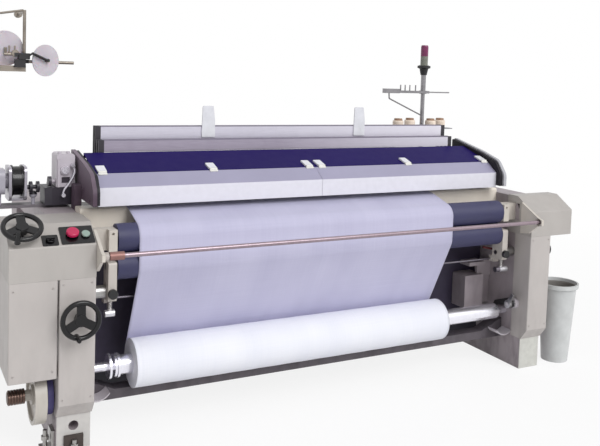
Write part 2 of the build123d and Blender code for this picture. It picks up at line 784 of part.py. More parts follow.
# Latch hook over the right neck of the roll, with its silver lever
hook_x = (half_gap - 53, half_gap - 35)
with BuildPart() as roll_latch:
    bar_x((hook_x[0] - 14, half_gap - 30), latch_y, latch_z, 22)
    side_shape(
        hook_x[0],
        hook_x[1] - hook_x[0],
        [
            (latch_y - 10, latch_z - 20),
            (latch_y, latch_z + 36),
            (roll_y + 18, roll_z + roll_shaft_r + 34),
            (roll_y + 44, roll_z + 6),
            (roll_y + 26, roll_z + 2),
            (roll_y + 12, roll_z + roll_shaft_r + 8),
            (latch_y + 20, latch_z - 10),
        ],
    )
    side_shape(
        hook_x[0] - 14,
        12,
        [
            (latch_y - 8, latch_z - 14),
            (latch_y - 44, latch_z + 58),
            (latch_y - 30, latch_z + 66),
            (latch_y + 14, latch_z + 6),
        ],
    )
    bar_x((hook_x[0] - 15, half_gap), latch_y, latch_z, 10 + shaft_clear, Mode.SUBTRACT)
save(roll_latch, "roll_latch")

# Curved guard plates under the roll's ends, and the latch's boss with its pin
with BuildPart() as roll_guards:
    guard_y = (cover_rear + 1, front_tie_y - 2)
    for side in (-1, 1):
        with BuildSketch(Plane.XZ.offset(-guard_y[0])) as guard:
            with BuildLine():
                edge = half_gap - 98
                ThreePointArc((side * half_gap, 186), (side * (half_gap - 45), 168), (side * edge, 196))
                Line((side * edge, 196), (side * edge, 202))
                ThreePointArc((side * edge, 202), (side * (half_gap - 45), 174), (side * half_gap, 194))
                Line((side * half_gap, 194), (side * half_gap, 186))
            make_face()
        extrude(guard.sketch, amount=guard_y[0] - guard_y[1])
    bar_x((hook_x[0] - 14, half_gap), latch_y, latch_z, 10)
    bar_x((half_gap - 29, half_gap), latch_y, latch_z, latch_boss_r)
save(roll_guards, "roll_guards")

# Take-up gear case beside the right frame, and the let-off gear case at the left rear
with BuildPart() as gear_cases:
    case_y = (front_y + 290, front_y + 400)
    case_x = (half_gap - 195, half_gap - 67)
    block(case_x, case_y, (roll_z - 6, roll_z + 179))
    fillet(gear_cases.edges().filter_by(Axis.Y), 8)
    block((case_x[1], half_gap), (case_y[0] + 30, case_y[1]), (roll_z + 9, roll_z + 164))
    shelf_z = (roll_z + 237, roll_z + 257)
    block((case_x[0] + 8, case_x[1] - 10), (case_y[0] - 20, case_y[0] + 60), shelf_z)
    block((case_x[1] - 30, half_gap), (case_y[0] + 20, case_y[0] + 40), (roll_z + 164, shelf_z[1]))
    let_off_y = (beam_y - 330, beam_y - 170)
    block((-half_gap, -beam_half - 20), let_off_y, (beam_z - 100, beam_z + 130))
    chamfer(gear_cases.edges().filter_by(Axis.X).group_by(Axis.X)[0], 16)
save(gear_cases, "gear_cases")

# Sley: three swords on the rocking shaft, the sley beam and the reed
reed_y = sley_y + 34
sword_x = (225 - reed_half, 0.0, reed_half - 225)
with BuildPart() as sley_swords:
    for x in sword_x:
        side_shape(
            x - sword_thick / 2,
            sword_thick,
            [
                (sley_y - 44, rocking_z - 20),
                (sley_y - 44, rocking_z + 20),
                (reed_y - 26, reed_foot_z - 45),
                (reed_y + 18, reed_foot_z - 45),
                (sley_y + 44, rocking_z + 20),
                (sley_y + 44, rocking_z - 20),
                (sley_y, rocking_z - 48),
            ],
        )
    end = half_gap + bore_depth - 2
    bar_x((-end, end), sley_y, rocking_z, rocking_r)
save(sley_swords, "sley_swords")

reed_thick = 7.0
with BuildPart() as sley_beam:
    beam_x = reed_half + 20
    block((-beam_x, beam_x), (reed_y - 26, reed_y + 18), (reed_foot_z - 45, reed_foot_z + 12))
    chamfer(sley_beam.edges().filter_by(Axis.X).group_by(Axis.Z)[0], 10)
    groove = reed_thick / 2 + 0.5
    block((-beam_x, beam_x), (reed_y - groove, reed_y + groove), (reed_foot_z, reed_foot_z + 12), Mode.SUBTRACT)
save(sley_beam, "sley_beam")

with BuildPart() as reed:
    reed_top = reed_foot_z + reed_height
    block((-reed_half, reed_half), (reed_y - reed_thick / 2, reed_y + reed_thick / 2), (reed_foot_z, reed_top))
    dent_pitch = (2 * reed_half - 60) / dent_count
    with BuildSketch(Plane.XZ.offset(-reed_y)) as dents:
        with Locations((0, (reed_foot_z + reed_top) / 2)):
            with GridLocations(dent_pitch, 1, dent_count, 1):
                Rectangle(dent_pitch * 0.55, reed_height - 36)
    extrude(dents.sketch, amount=reed_thick, both=True, mode=Mode.SUBTRACT)
save(reed, "reed")


# Heald frames: aluminium rails, dark end staves and a row of healds between them
def heald_frame(number):
    y = heald_first_y + (number - 1) * heald_pitch
    top = heald_top if number > 2 else heald_top - heald_lift
    bottom = top - heald_drop
    with BuildPart() as frame:
        rail_y = (y - heald_depth / 2, y + heald_depth / 2)
        block((-heald_half, heald_half), rail_y, (top - heald_rail, top))
        block((-heald_half, heald_half), rail_y, (bottom, bottom + heald_rail))
        for side in (-1, 1):
            stave_x = (side * (heald_half - stave_width), side * heald_half)
            block(stave_x, rail_y, (bottom, top))
        wall = (y - 1.5, y + 1.5)
        inner = heald_half - stave_width
        block((-inner, inner), wall, (bottom + heald_rail, top - heald_rail))
        pitch = 2 * inner / heald_count
        with BuildSketch(Plane.XZ.offset(-y)) as gaps:
            with Locations((0, (top + bottom) / 2)):
                with GridLocations(pitch, 1, heald_count, 1):
                    Rectangle(pitch * 0.86, heald_drop - 2 * heald_rail - 30)
        extrude(gaps.sketch, amount=3, both=True, mode=Mode.SUBTRACT)
    save(frame, f"heald_frame_{number}")


for number in (1, 2, 3, 4):
    heald_frame(number)

# White guide tongues on the front of the third frame's top rail
with BuildPart() as rail_guides:
    guide_y = heald_first_y + 2 * heald_pitch - heald_depth / 2
    guide_top = heald_top + 100
    for x in (-0.45 * heald_half, 0.418 * heald_half):
        with BuildSketch(Plane.XZ.offset(-guide_y)) as tongue:
            with BuildLine():
                FilletPolyline(
                    (x - 35, heald_top - heald_rail),
                    (x - 31, guide_top),
                    (x + 25, guide_top),
                    (x + 35, guide_top - 70),
                    (x + 37, heald_top - heald_rail),
                    radius=6,
                    close=True,
                )
            make_face()
        extrude(tongue.sketch, amount=6)
save(rail_guides, "rail_guides")

# Guide combs on the side frames, in which the staves slide
with BuildPart() as heald_guides:
    comb_y = (heald_first_y - 25, heald_first_y + 3 * heald_pitch + 25)
    for side in (-1, 1):
        for z in (frame_height - 163, frame_height - 53):
            block((side * (heald_half - 8), side * half_gap), comb_y, (z, z + 40))
        for number in range(4):
            y = heald_first_y + number * heald_pitch
            slot = heald_depth / 2 + 0.4
            slot_x = (side * (heald_half - 9), side * (heald_half + 0.4))
            block(slot_x, (y - slot, y + slot), (frame_height - 173, frame_height - 3), Mode.SUBTRACT)
save(heald_guides, "heald_guides")

# Warp beam with its flanges and let-off gear, and the wound warp
with BuildPart() as warp_beam:
    bar_x((-beam_half, beam_half), beam_y, beam_z, beam_core_r)
    for side, face_x in ((-1, cloth_left - beam_flange_gap), (1, cloth_right + beam_flange_gap)):
        with BuildSketch(Plane.YZ.offset(face_x)) as flange:
            with Locations((beam_y, beam_z)):
                Circle(beam_flange_r)
                with PolarLocations(beam_flange_r * 0.8, 6):
                    Circle(beam_flange_r * 0.09, mode=Mode.SUBTRACT)
        extrude(flange.sketch, amount=side * beam_flange_thick)
        bar_x((side * beam_half, side * (half_gap + bore_depth - 2)), beam_y, beam_z, beam_shaft_r)
    with BuildSketch(Plane.YZ.offset(-beam_half - 70)) as gear:
        with Locations((beam_y, beam_z)):
            Circle(150)
            with PolarLocations(150, 30):
                Rectangle(14, 12)
    extrude(gear.sketch, amount=34)
save(warp_beam, "warp_beam")

with BuildPart() as warp_yarn:
    yarn_x = (cloth_left - beam_flange_gap + 0.5, cloth_right + beam_flange_gap - 0.5)
    bar_x(yarn_x, beam_y, beam_z, beam_yarn_r)
    bar_x(yarn_x, beam_y, beam_z, beam_core_r, Mode.SUBTRACT)
save(warp_yarn, "warp_yarn")

# Back rest roller on two sprung levers
with BuildPart() as back_roller:
    bar_x((-rest_half, rest_half), rest_y, rest_z, rest_r)
    end = rest_half + 6 + rest_lever_thick
    bar_x((-end, end), rest_y, rest_z, 16)
save(back_roller, "back_roller")

with BuildPart() as tension_levers:
    for side in (-1, 1):
        x = side * (rest_half + 6)
        with BuildSketch(Plane.YZ.offset(x)) as lever:
            with Locations((rest_y, rest_z)):
                Circle(32)
            with Locations((rest_pin_y, rest_pin_z)):
                Circle(30)
            make_hull()
        extrude(lever.sketch, amount=side * rest_lever_thick)
        lever_x = (x, x + side * rest_lever_thick)
        bar_x(lever_x, rest_y, rest_z, 16 + shaft_clear, Mode.SUBTRACT)
        bar_x(lever_x, rest_pin_y, rest_pin_z, pin_r + shaft_clear, Mode.SUBTRACT)
save(tension_levers, "tension_levers")

# Drive shaft with the beige flywheel, the belt pulley and the ribbed coupling at its end
pulley_x = (-outer_x - 31, -outer_x - 6)
flywheel_x = (-outer_x - 84, -outer_x - 37)
shaft_end = -outer_x - 109
with BuildPart() as drive_shaft:
    bar_x((-half_gap - 1, shaft_end), drive_y, drive_z, drive_shaft_r)
    bar_x(flywheel_x, drive_y, drive_z, flywheel_r)
    bar_x((flywheel_x[0], flywheel_x[0] + 12), drive_y, drive_z, flywheel_r - 16, Mode.SUBTRACT)
    bar_x((flywheel_x[0], flywheel_x[1]), drive_y, drive_z, 40)
    bar_x(pulley_x, drive_y, drive_z, drive_pulley_r)
    for index in range(6):
        start = shaft_end - 11 * index
        bar_x((start, start - 8), drive_y, drive_z, 30)
        bar_x((start - 8, start - 11), drive_y, drive_z, 24)
save(drive_shaft, "drive_shaft")

with BuildPart() as motor_pulley:
    bar_x(pulley_x, motor_y, motor_z, motor_pulley_r)
    bar_x((pulley_x[0], pulley_x[0] - 40), motor_y, motor_z, 14)
save(motor_pulley, "motor_pulley")

with BuildPart() as drive_belts:
    belt_gap = 0.4
    with BuildSketch(Plane.YZ.offset(pulley_x[0] + 1)) as loop:
        with BuildSketch(Plane.YZ.offset(pulley_x[0] + 1), mode=Mode.PRIVATE) as inside:
            with Locations((drive_y, drive_z)):
                Circle(drive_pulley_r + belt_gap)
            with Locations((motor_y, motor_z)):
                Circle(motor_pulley_r + belt_gap)
            make_hull()
        with Locations((drive_y, drive_z)):
            Circle(drive_pulley_r + belt_gap + belt_thick)
        with Locations((motor_y, motor_z)):
            Circle(motor_pulley_r + belt_gap + belt_thick)
        make_hull()
    extrude(loop.sketch, amount=23)
    extrude(inside.sketch, amount=23, mode=Mode.SUBTRACT)
save(drive_belts, "drive_belts")

# Drive motor with cooling ribs, on a bracket from the left frame
with BuildPart() as drive_motor:
    motor_x = (-outer_x - 61, -outer_x - 179)
    with BuildSketch(Plane.YZ.offset(motor_x[0])) as case:
        with Locations((motor_y, motor_z)):
            Circle(motor_r - 6)
            with PolarLocations(motor_r - 5, 24):
                Rectangle(12, 3)
    extrude(case.sketch, amount=motor_x[1] - motor_x[0])
    bar_x((motor_x[0], motor_x[0] + 8), motor_y, motor_z, motor_r + 6)
    bar_x((motor_x[0] - 14, motor_x[0] + 8), motor_y, motor_z, 14 + shaft_clear, Mode.SUBTRACT)
    foot = (motor_z - motor_r - 26, motor_z - motor_r + 8)
    block((motor_x[1] + 10, motor_x[0] - 10), (motor_y - 70, motor_y + 70), foot)
    bracket = (motor_z - motor_r - 44, motor_z - motor_r - 26)
    block((motor_x[1] + 10, -outer_x), (motor_y + 64, motor_y + 164), bracket)
    block((motor_x[1] + 10, motor_x[0] - 10), (motor_y - 70, motor_y + 64), bracket)
save(drive_motor, "drive_motor")

# Operation bar across the front, with its brown sleeve and cream end plug
bar_end = cover_inner - 2
with BuildPart() as operation_bar:
    bar_x((-bar_end, bar_end), bar_y, bar_z, bar_r)
    bar_x((32.7 - bar_end, 90.7 - bar_end), bar_y, bar_z, bar_r + 7)
    bar_x((-bar_end, 28.7 - bar_end), bar_y, bar_z, bar_r + 8)
save(operation_bar, "operation_bar")

# Cream brackets that carry the bar, bolted to the inner sides of the top covers
with BuildPart() as bar_brackets:
    for side in (-1, 1):
        x = side * (cover_inner - 0.2)
        plate = [
            (front_y + 70, cover_edge + 44),
            (bar_y + 6, bar_z + 22),
            (bar_y - 24, bar_z + 12),
            (bar_y - 24, bar_z - 16),
            (bar_y + 10, bar_z - 26),
            (front_y + 10, cover_split + 20),
            (front_y + 70, cover_split + 10),
        ]
        inner_x = side * (bar_end - 12)
        side_shape(inner_x, x - inner_x, plate)
        bar_x((side * (bar_end - 13), side * (bar_end + 0.3)), bar_y, bar_z, bar_r + 8 + shaft_clear, Mode.SUBTRACT)
save(bar_brackets, "bar_brackets")

# Signal post on the right frame, with the guide bar, its brace and the bobbin tray
post_x = half_gap + 46
post_y = front_y + 1080.0
guide_z = frame_height + 533
post_top = guide_z + 110
tray_z = frame_height + 307
bobbin_x = (post_x - 200, post_x - 79, post_x + 53, post_x + 163)
with BuildPart() as signal_post:
    bar_up(post_x, post_y, (frame_height, guide_z + 4), 13)
    bar_up(post_x, post_y, (guide_z + 4, post_top), 16)
    bar_up(post_x, post_y, (guide_z - 11, guide_z + 9), 24)
    bar_up(post_x, post_y, (frame_height, frame_height + 10), 45)
    # The guide bar and its four eye pins
    block((post_x - 313, post_x + 27), (post_y - 34, post_y - 14), (guide_z - 8, guide_z + 8))
    block((post_x - 319, post_x - 211), (post_y - 44, post_y - 8), (guide_z - 10, guide_z + 18))
    block((post_x - 23, post_x + 192), (post_y - 28, post_y - 12), (guide_z - 4, guide_z + 4))
    for x in (-193, -158, -122, -77):
        bar_up(post_x + x, post_y - 24, (guide_z + 2, guide_z + 44), 4)
    # The bobbin tray and its pegs
    block((bobbin_x[0] - 40, bobbin_x[-1] + 40), (post_y - 62, post_y + 62), (tray_z - 10, tray_z - 4))
    for index, x in enumerate(bobbin_x):
        bar_up(x, post_y + (22 if index % 2 else -22), (tray_z - 4, tray_z + 10), 5)
    # The bent brace from the guide bar down to the post
    bend = (post_x - 277, post_y - 24, guide_z - 44)
    for start, end in (((post_x - 281, post_y - 24, guide_z), bend), (bend, (post_x, post_y, guide_z - 154))):
        run = Vector(*end) - Vector(*start)
        with BuildSketch(Plane(origin=start, z_dir=run)) as brace:
            Circle(4.5)
        extrude(brace.sketch, amount=run.length)
save(signal_post, "signal_post")

# Signal lamp: a black foot, a grey-green lens and a red lens
with BuildPart() as signal_lamp:
    with BuildSketch(Plane.XZ.offset(-post_y)) as half_section:
        with BuildLine():
            Polyline(
                (post_x, post_top),
                (post_x + 20, post_top),
                (post_x + 28, post_top + 40),
                (post_x + 42, post_top + 46),
                (post_x + 42, post_top + 58),
                (post_x + 24, post_top + 66),
                (post_x + 24, post_top + 184),
                (post_x + 20, post_top + 192),
                (post_x, post_top + 192),
                close=True,
            )
        make_face()
    revolve(half_section.sketch, axis=Axis((post_x, post_y, 0), (0, 0, 1)))
save(signal_lamp, "signal_lamp")

# Four selvage bobbins on the tray
with BuildPart() as bobbins:
    for index, x in enumerate(bobbin_x):
        y = post_y + (22 if index % 2 else -22)
        bar_up(x, y, (tray_z - 4, tray_z + 44), 35)
        bar_up(x, y, (tray_z + 44, tray_z + 56), 26)
        bar_up(x, y, (tray_z - 4, tray_z + 57), 5.5, Mode.SUBTRACT)
save(bobbins, "bobbins")

# Weft package stand at the upper left: a post, a short beam, a pole and two disc spindles
stand_x = -outer_x - 247
stand_y = front_y + 560.0
pole_x = -outer_x - 60
stand_low = frame_height + 613
stand_top = stand_low + 257
big_disc = (pole_x - 79, stand_low + 87)
small_disc = (pole_x + 91, stand_low + 39)
disc_turn = radians(28.0)
disc_thick = 5.0
stub_r = 8.0
peg_y = stand_y - 24
disc_y = stand_y - 12
disc_plane = Plane(
    origin=(small_disc[0], disc_y, small_disc[1]),
    x_dir=(cos(disc_turn), sin(disc_turn), 0),
    z_dir=(sin(disc_turn), -cos(disc_turn), 0),
)
with BuildPart() as weft_stand:
    bar_up(stand_x, stand_y, (0, stand_low + 40), 16)
    bar_up(stand_x, stand_y, (0, 12), 22)
    block((stand_x, pole_x + 6), (stand_y - 13, stand_y + 13), (stand_low - 13, stand_low + 13))
    bar_up(pole_x, stand_y, (stand_low, stand_top), 7)
    bar_y_way(pole_x, (stand_y - 4, stand_y + 172), stand_top - 9, 6)
    bar_y_way(pole_x, (stand_y + 170, stand_y + 200), stand_top - 9, 17)
    # The clamp on the pole, with the peg bar and the stub behind the big disc
    block((pole_x - 26, pole_x + 20), (stand_y - 34, stand_y + 12), (stand_low + 41, stand_low + 68))
    block((pole_x - 42, pole_x + 3), (stand_y - 30, stand_y - 5), (stand_low + 5, stand_low + 41))
    bar_x((pole_x - 87, pole_x - 20), peg_y, stand_low + 61, 6)
    bar_y_way(pole_x - 41, (peg_y - 12, peg_y + 12), stand_low + 66, 15)
    for x in (pole_x - 66, pole_x - 43):
        bar_up(x, peg_y, (stand_low + 61, stand_low + 99), 4)
    bar_y_way(big_disc[0] + 2, (peg_y - 5, stand_y + 16.5), stand_low + 65, 5)
    block((big_disc[0] - 4, big_disc[0] + 8), (stand_y + 2, stand_y + 16.5), (stand_low + 58, big_disc[1] + 4))
    # The slanted arm of the small disc and the thread guide rod behind it
    with BuildSketch(disc_plane) as stub:
        Circle(stub_r)
    extrude(stub.sketch, amount=18)
    elbow = (pole_x + 26, stand_y - 58, stand_low + 68)
    for start, end, radius in (
        ((pole_x + 18, peg_y, stand_low + 58), elbow, 4),
        (elbow, (small_disc[0] + 7, stand_y - 25, small_disc[1] - 1), 6),
    ):
        run = Vector(*end) - Vector(*start)
        with BuildSketch(Plane(origin=start, z_dir=run)) as arm:
            Circle(radius)
        extrude(arm.sketch, amount=run.length)
    bar_x((pole_x + 4, pole_x + 223), stand_y + 40, stand_low + 32, 7)
    block((pole_x + 3, pole_x + 20), (stand_y - 3, stand_y + 44), (stand_low + 24, stand_low + 40))
    # An arm that ties the post to the web of the left side frame
    arm_z = (frame_height - 313, frame_height - 273)
    block((stand_x - 20, -half_gap - web_thick), (stand_y - 24, stand_y - 14), arm_z)
    block((stand_x - 20, stand_x + 20), (stand_y - 14, stand_y + 20), arm_z)
save(weft_stand, "weft_stand")

with BuildPart() as package_discs:
    disc_face = (stand_y + 16.5, stand_y + 16.5 + disc_thick)
    bar_y_way(big_disc[0], disc_face, big_disc[1], 77)
    bar_y_way(big_disc[0], (disc_face[1], disc_face[1] + 9), big_disc[1], 24)
    with BuildSketch(disc_plane) as disc:
        Circle(70)
    extrude(disc.sketch, amount=-disc_thick)
    with BuildSketch(disc_plane.offset(-disc_thick)) as disc:
        Circle(22)
    extrude(disc.sketch, amount=-6)
save(package_discs, "package_discs")

# Weft feeder: a fixed body with two silver cheeks, and the dark drum that turns between them
feeder_y = front_y + 560.0
feeder_z = frame_height + 117
feeder_x = -outer_x - 141
cheek_thick = 12.0
cheek_x = (feeder_x + 14, feeder_x + 78)
base_top = frame_height + 12
with BuildPart() as feeder_body:
    with BuildSketch(Plane.YZ.offset(feeder_x)) as body:
        with Locations((feeder_y, feeder_z)):
            RectangleRounded(120, 110, 30)
    extrude(body.sketch, amount=-64)
    bar_x((feeder_x, cheek_x[0]), feeder_y, feeder_z, 34)
    for x in cheek_x:
        with BuildSketch(Plane.YZ.offset(x)) as cheek:
            with Locations((feeder_y, feeder_z - 8)):
                RectangleRounded(132, 150, 24)
        extrude(cheek.sketch, amount=cheek_thick)
    bridge_z = (feeder_z - 83, feeder_z - 73)
    block((cheek_x[0], cheek_x[1] + cheek_thick), (feeder_y - 42, feeder_y + 42), bridge_z)
    bar_x((feeder_x - 8, cheek_x[1] + cheek_thick + 1), feeder_y, feeder_z, 12 + shaft_clear, Mode.SUBTRACT)
    block((feeder_x - 52, feeder_x - 12), (feeder_y - 20, feeder_y + 20), (base_top, feeder_z - 50))
    block((feeder_x - 52, -half_gap - 10), (feeder_y - 40, feeder_y + 40), (frame_height, base_top))
    knob_x = feeder_x + 122
    bar_up(knob_x, feeder_y - 20, (base_top, base_top + 34), 8)
    with Locations((knob_x, feeder_y - 20, base_top + 44)):
        Sphere(17)
    # The thread clamp: two small discs on a pin from the right cheek
    clamp_z = feeder_z - 25
    clamp_x = cheek_x[1] + cheek_thick
    bar_x((clamp_x, clamp_x + 57), feeder_y - 40, clamp_z, 9)
    for x in (clamp_x + 12, clamp_x + 42):
        bar_x((x, x + 12), feeder_y - 40, clamp_z, 25)
save(feeder_body, "feeder_body")

with BuildPart() as feeder_drum:
    drum_x = (cheek_x[0] + cheek_thick + 4, cheek_x[1] - 4)
    bar_x((feeder_x - 8, cheek_x[1] + cheek_thick - 1), feeder_y, feeder_z, 12)
    bar_x(drum_x, feeder_y, feeder_z, 64)
    bar_x((drum_x[0], drum_x[0] + 5), feeder_y, feeder_z, 70)
    bar_x((drum_x[1] - 5, drum_x[1]), feeder_y, feeder_z, 70)
save(feeder_drum, "feeder_drum")

# Cast pump on its dark base, on the left frame's top
with BuildPart() as pump_box:
    pump_y = (front_y + 482.0, front_y + 600.0)
    pump_x = (-half_gap - 63, -half_gap + 17)
    pump_base = frame_height + 92
    pump_top = frame_height + 240
    pump_mid = (pump_x[0] + pump_x[1]) / 2
    block((pump_x[0] - 50, pump_x[1]), pump_y, (base_top + 0.2, pump_base))
    with BuildSketch(Plane.XZ.offset(-pump_y[0])) as casting:
        with Locations((pump_mid, (pump_base - 14 + pump_top) / 2)):
            RectangleRounded(pump_x[1] - pump_x[0], pump_top - pump_base + 14, 14)
    extrude(casting.sketch, amount=pump_y[0] - pump_y[1])
    for x in (pump_x[0] + 16, pump_x[1] - 26):
        bar_up(x, pump_y[0] + 24, (pump_top - 1, pump_top + 9), 8)
    # The round cover, the sight recess and the ridge on the front
    cover_z = pump_base + 75
    bar_y_way(pump_mid - 2, (pump_y[0] - 6, pump_y[0]), cover_z, 23)
    bar_y_way(pump_mid - 2, (pump_y[0] - 14, pump_y[0]), cover_z, 17)
    recess_z = (pump_base + 18, pump_base + 44)
    block((pump_x[0] + 22, pump_x[0] + 58), (pump_y[0] - 1, pump_y[0] + 8), recess_z, Mode.SUBTRACT)
    block((pump_x[0] + 4, pump_x[0] + 14), (pump_y[0] - 6, pump_y[0]), (pump_base, pump_top - 22))
    # The hand nut on the left side
    bar_x((pump_x[0] - 18, pump_x[0]), pump_y[0] + 30, pump_base + 24, 10)
    bar_x((pump_x[0] - 32, pump_x[0] - 18), pump_y[0] + 30, pump_base + 24, 22)
    # The bent water pipe between its two unions
    pipe_y = pump_y[0] - 14
    union_high = (pump_x[1] - 12, pump_top - 51)
    union_low = (pump_x[0] + 28, pump_base - 35)
    for x, z in (union_high, union_low):
        bar_y_way(x, (pump_y[0] - 22, pump_y[0]), z, 9)
    with BuildLine() as pipe_path:
        Spline(
            (union_high[0], pipe_y, union_high[1]),
            (pump_x[1] - 4, pipe_y, pump_base + 68),
            (pump_x[1] - 16, pipe_y, pump_base + 36),
            (pump_x[0] + 46, pipe_y, pump_base + 8),
            (union_low[0] + 3, pipe_y, pump_base - 14),
            (union_low[0], pipe_y, union_low[1]),
        )
    with BuildSketch(Plane(origin=pipe_path.line @ 0, z_dir=pipe_path.line % 0)) as pipe_ring:
        Circle(5.5)
    sweep(sections=pipe_ring.sketch, path=pipe_path.line)
    # The nozzle arm towards the reed
    arm_y = (pump_y[0] + 20, pump_y[0] + 70)
    block((pump_x[1], pump_x[1] + 8), arm_y, (frame_height + 20, frame_height + 67))
save(pump_box, "pump_box")

# Levelling jacks at the left foot: the front one has two anchor holes
anchor_pitch = 54.0
anchor_r = 5.5
with BuildPart() as levelling_jacks:
    plate_x = (-column_mid - 38, 38 - column_mid)
    block(plate_x, (column_front - 34, column_front), (0, 22))
    for x in (-column_mid - anchor_pitch / 2, anchor_pitch / 2 - column_mid):
        bar_up(x, column_front - 22, (0, 22), anchor_r, Mode.SUBTRACT)
    block(plate_x, (column_front - 12, column_front), (22, 84))
    bar_up(-column_mid, column_front - 22, (22, 70), 9)
    bar_up(-column_mid, column_front - 22, (40, 54), 15)
    block((-outer_x - 52, -outer_x), (column_front + 30, column_front + 100), (0, 22))
    block((-outer_x - 14, -outer_x), (column_front + 30, column_front + 100), (22, 96))
    bar_up(-outer_x - 32, column_front + 66, (22, 92), 9)
    bar_up(-outer_x - 32, column_front + 66, (52, 68), 15)
save(levelling_jacks, "levelling_jacks")

# Waste bin beside the right column
bin_x = outer_x + 171
bin_y = front_y + 92.0
bin_height = 440.0
with BuildPart() as waste_bin:
    with BuildSketch(Plane.XZ.offset(-bin_y)) as wall:
        with BuildLine():
            Polyline(
                (bin_x, 0),
                (bin_x + 72, 0),
                (bin_x + 100, bin_height - 26),
                (bin_x + 112, bin_height - 22),
                (bin_x + 112, bin_height),
                (bin_x + 103, bin_height),
                (bin_x + 97, bin_height - 24),
                (bin_x + 69, 4),
                (bin_x, 4),
                close=True,
            )
        make_face()
    revolve(wall.sketch, axis=Axis((bin_x, bin_y, 0), (0, 0, 1)))
save(waste_bin, "waste_bin")

# Hexagon bolts that hold the cross beams, seen on the outer sides of the frames
with BuildPart() as frame_bolts:
    web_outer = half_gap + web_thick
    for side in (-1, 1):
        for y, z, x in (
            (front_tie_y + 18, tie_beam_z + 24, web_outer),
            (front_tie_y + 52, tie_beam_z + 24, web_outer),
            (rear_tie_y + 18, rear_tie_z + 22, outer_x),
            (rear_tie_y + 52, rear_tie_z + 22, outer_x),
            (breast_y + 55, breast_top - 60, outer_x),
            (breast_y + 85, breast_top - 60, outer_x),
        ):
            with BuildSketch(Plane.YZ.offset(side * x)) as head:
                with Locations((y, z)):
                    RegularPolygon(11, 6)
            extrude(head.sketch, amount=side * 8)
save(frame_bolts, "frame_bolts")
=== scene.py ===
# %% [markdown]
# A water jet loom, dressed for its picture. The solids come first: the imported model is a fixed
# frame in metres, with X across the loom, Y from the weaver to the warp beam and Z up. Every
# finish and every fine piece below is placed in that frame.

import bmesh
import bpy
import numpy as np
from mathutils import Matrix, Vector


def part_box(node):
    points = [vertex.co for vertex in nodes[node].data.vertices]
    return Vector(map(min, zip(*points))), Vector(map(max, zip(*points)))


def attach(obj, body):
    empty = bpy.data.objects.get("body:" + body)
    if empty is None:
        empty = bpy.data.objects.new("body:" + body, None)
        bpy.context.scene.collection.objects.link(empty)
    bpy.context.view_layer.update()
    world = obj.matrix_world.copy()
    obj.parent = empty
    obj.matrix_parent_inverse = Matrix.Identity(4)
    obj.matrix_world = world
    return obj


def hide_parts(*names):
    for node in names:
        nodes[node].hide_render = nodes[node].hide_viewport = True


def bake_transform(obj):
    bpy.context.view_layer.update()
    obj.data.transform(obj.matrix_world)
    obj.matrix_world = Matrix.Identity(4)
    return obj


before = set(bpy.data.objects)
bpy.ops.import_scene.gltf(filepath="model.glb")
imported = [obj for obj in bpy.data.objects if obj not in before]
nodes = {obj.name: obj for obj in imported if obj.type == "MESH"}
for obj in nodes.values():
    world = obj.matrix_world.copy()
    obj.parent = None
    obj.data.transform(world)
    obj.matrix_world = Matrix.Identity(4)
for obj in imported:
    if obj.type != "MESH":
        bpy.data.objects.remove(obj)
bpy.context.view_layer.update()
front_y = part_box("column_covers")[0].y

# %% [markdown]
# The picture is taken from the weaver's left, a little above the hood. Three things set the
# camera: its place, the direction it looks along and the one that runs to the right in its
# frame. A small downward shift keeps uprights upright, as with a shift lens.

# %% The camera
camera_place = Vector((-1.9091, -3.8533, 1.575))
looks_along = Vector((0.4661, 0.8823, -0.065)).normalized()
frame_right = Vector((0.8847, -0.465, 0.0328))
frame_right = (frame_right - frame_right.project(looks_along)).normalized()
frame_up = frame_right.cross(looks_along)

lens = bpy.data.cameras.new("camera")
lens.lens = 47.71
lens.sensor_width = 36
lens.shift_y = -0.16667
lens.clip_end = 200
camera = bpy.data.objects.new("camera", lens)
turn = Matrix((frame_right, frame_up, -looks_along)).transposed().to_4x4()
camera.matrix_world = Matrix.Translation(camera_place) @ turn
bpy.context.scene.collection.objects.link(camera)
bpy.context.scene.camera = camera
print("camera stands", round((camera_place - Vector((0, 0, 0.9))).length, 2), "m from the middle of the loom")

# %% [markdown]
# A material is a tree of nodes. Wiring maths by hand is slow to write and hard to read, so a
# small class wraps a socket, and writing a + b adds the Math node that does it. A second class
# makes any other node, and a third one holds one material.

# %% Shader maths in plain Python
def operator(operation, reflected=False):
    """A method that adds a Math node for two values, swapped when it is the reflected form."""
    def method(self, other):
        return self.maths(operation, *((other, self) if reflected else (self, other)))
    return method


class Wire:
    """A number or colour that flows through a tree. Sums and products of wires add Math nodes."""

    __add__, __radd__ = operator("ADD"), operator("ADD", True)
    __sub__, __rsub__ = operator("SUBTRACT"), operator("SUBTRACT", True)
    __mul__, __rmul__ = operator("MULTIPLY"), operator("MULTIPLY", True)
    __gt__, __lt__ = operator("GREATER_THAN"), operator("LESS_THAN")

    def __init__(self, owner, socket):
        self.owner = owner
        self.socket = socket

    def maths(self, operation, first, second):
        return self.owner.node("Math", {"operation": operation}, {0: first, 1: second})

    def sine(self):
        return self.maths("SINE", self, 0.0)


class Tree:
    """A tree of nodes. Its node method takes a type, without its first word ShaderNode, settings and sockets."""

    def __init__(self, node_tree):
        self.nodes = node_tree.nodes
        self.links = node_tree.links

    def node(self, kind, settings=None, sockets=None, out=0):
        made = self.nodes.new("ShaderNode" + kind)
        for key, value in (settings or {}).items():
            setattr(made, key, value)
        for key, value in (sockets or {}).items():
            self.join(made.inputs[key], value)
        return Wire(self, made.outputs[out])

    def join(self, socket, value):
        """Links a wire to a socket, or sets the socket to a plain value."""
        if isinstance(value, Wire):
            self.links.new(value.socket, socket)
        else:
            socket.default_value = value


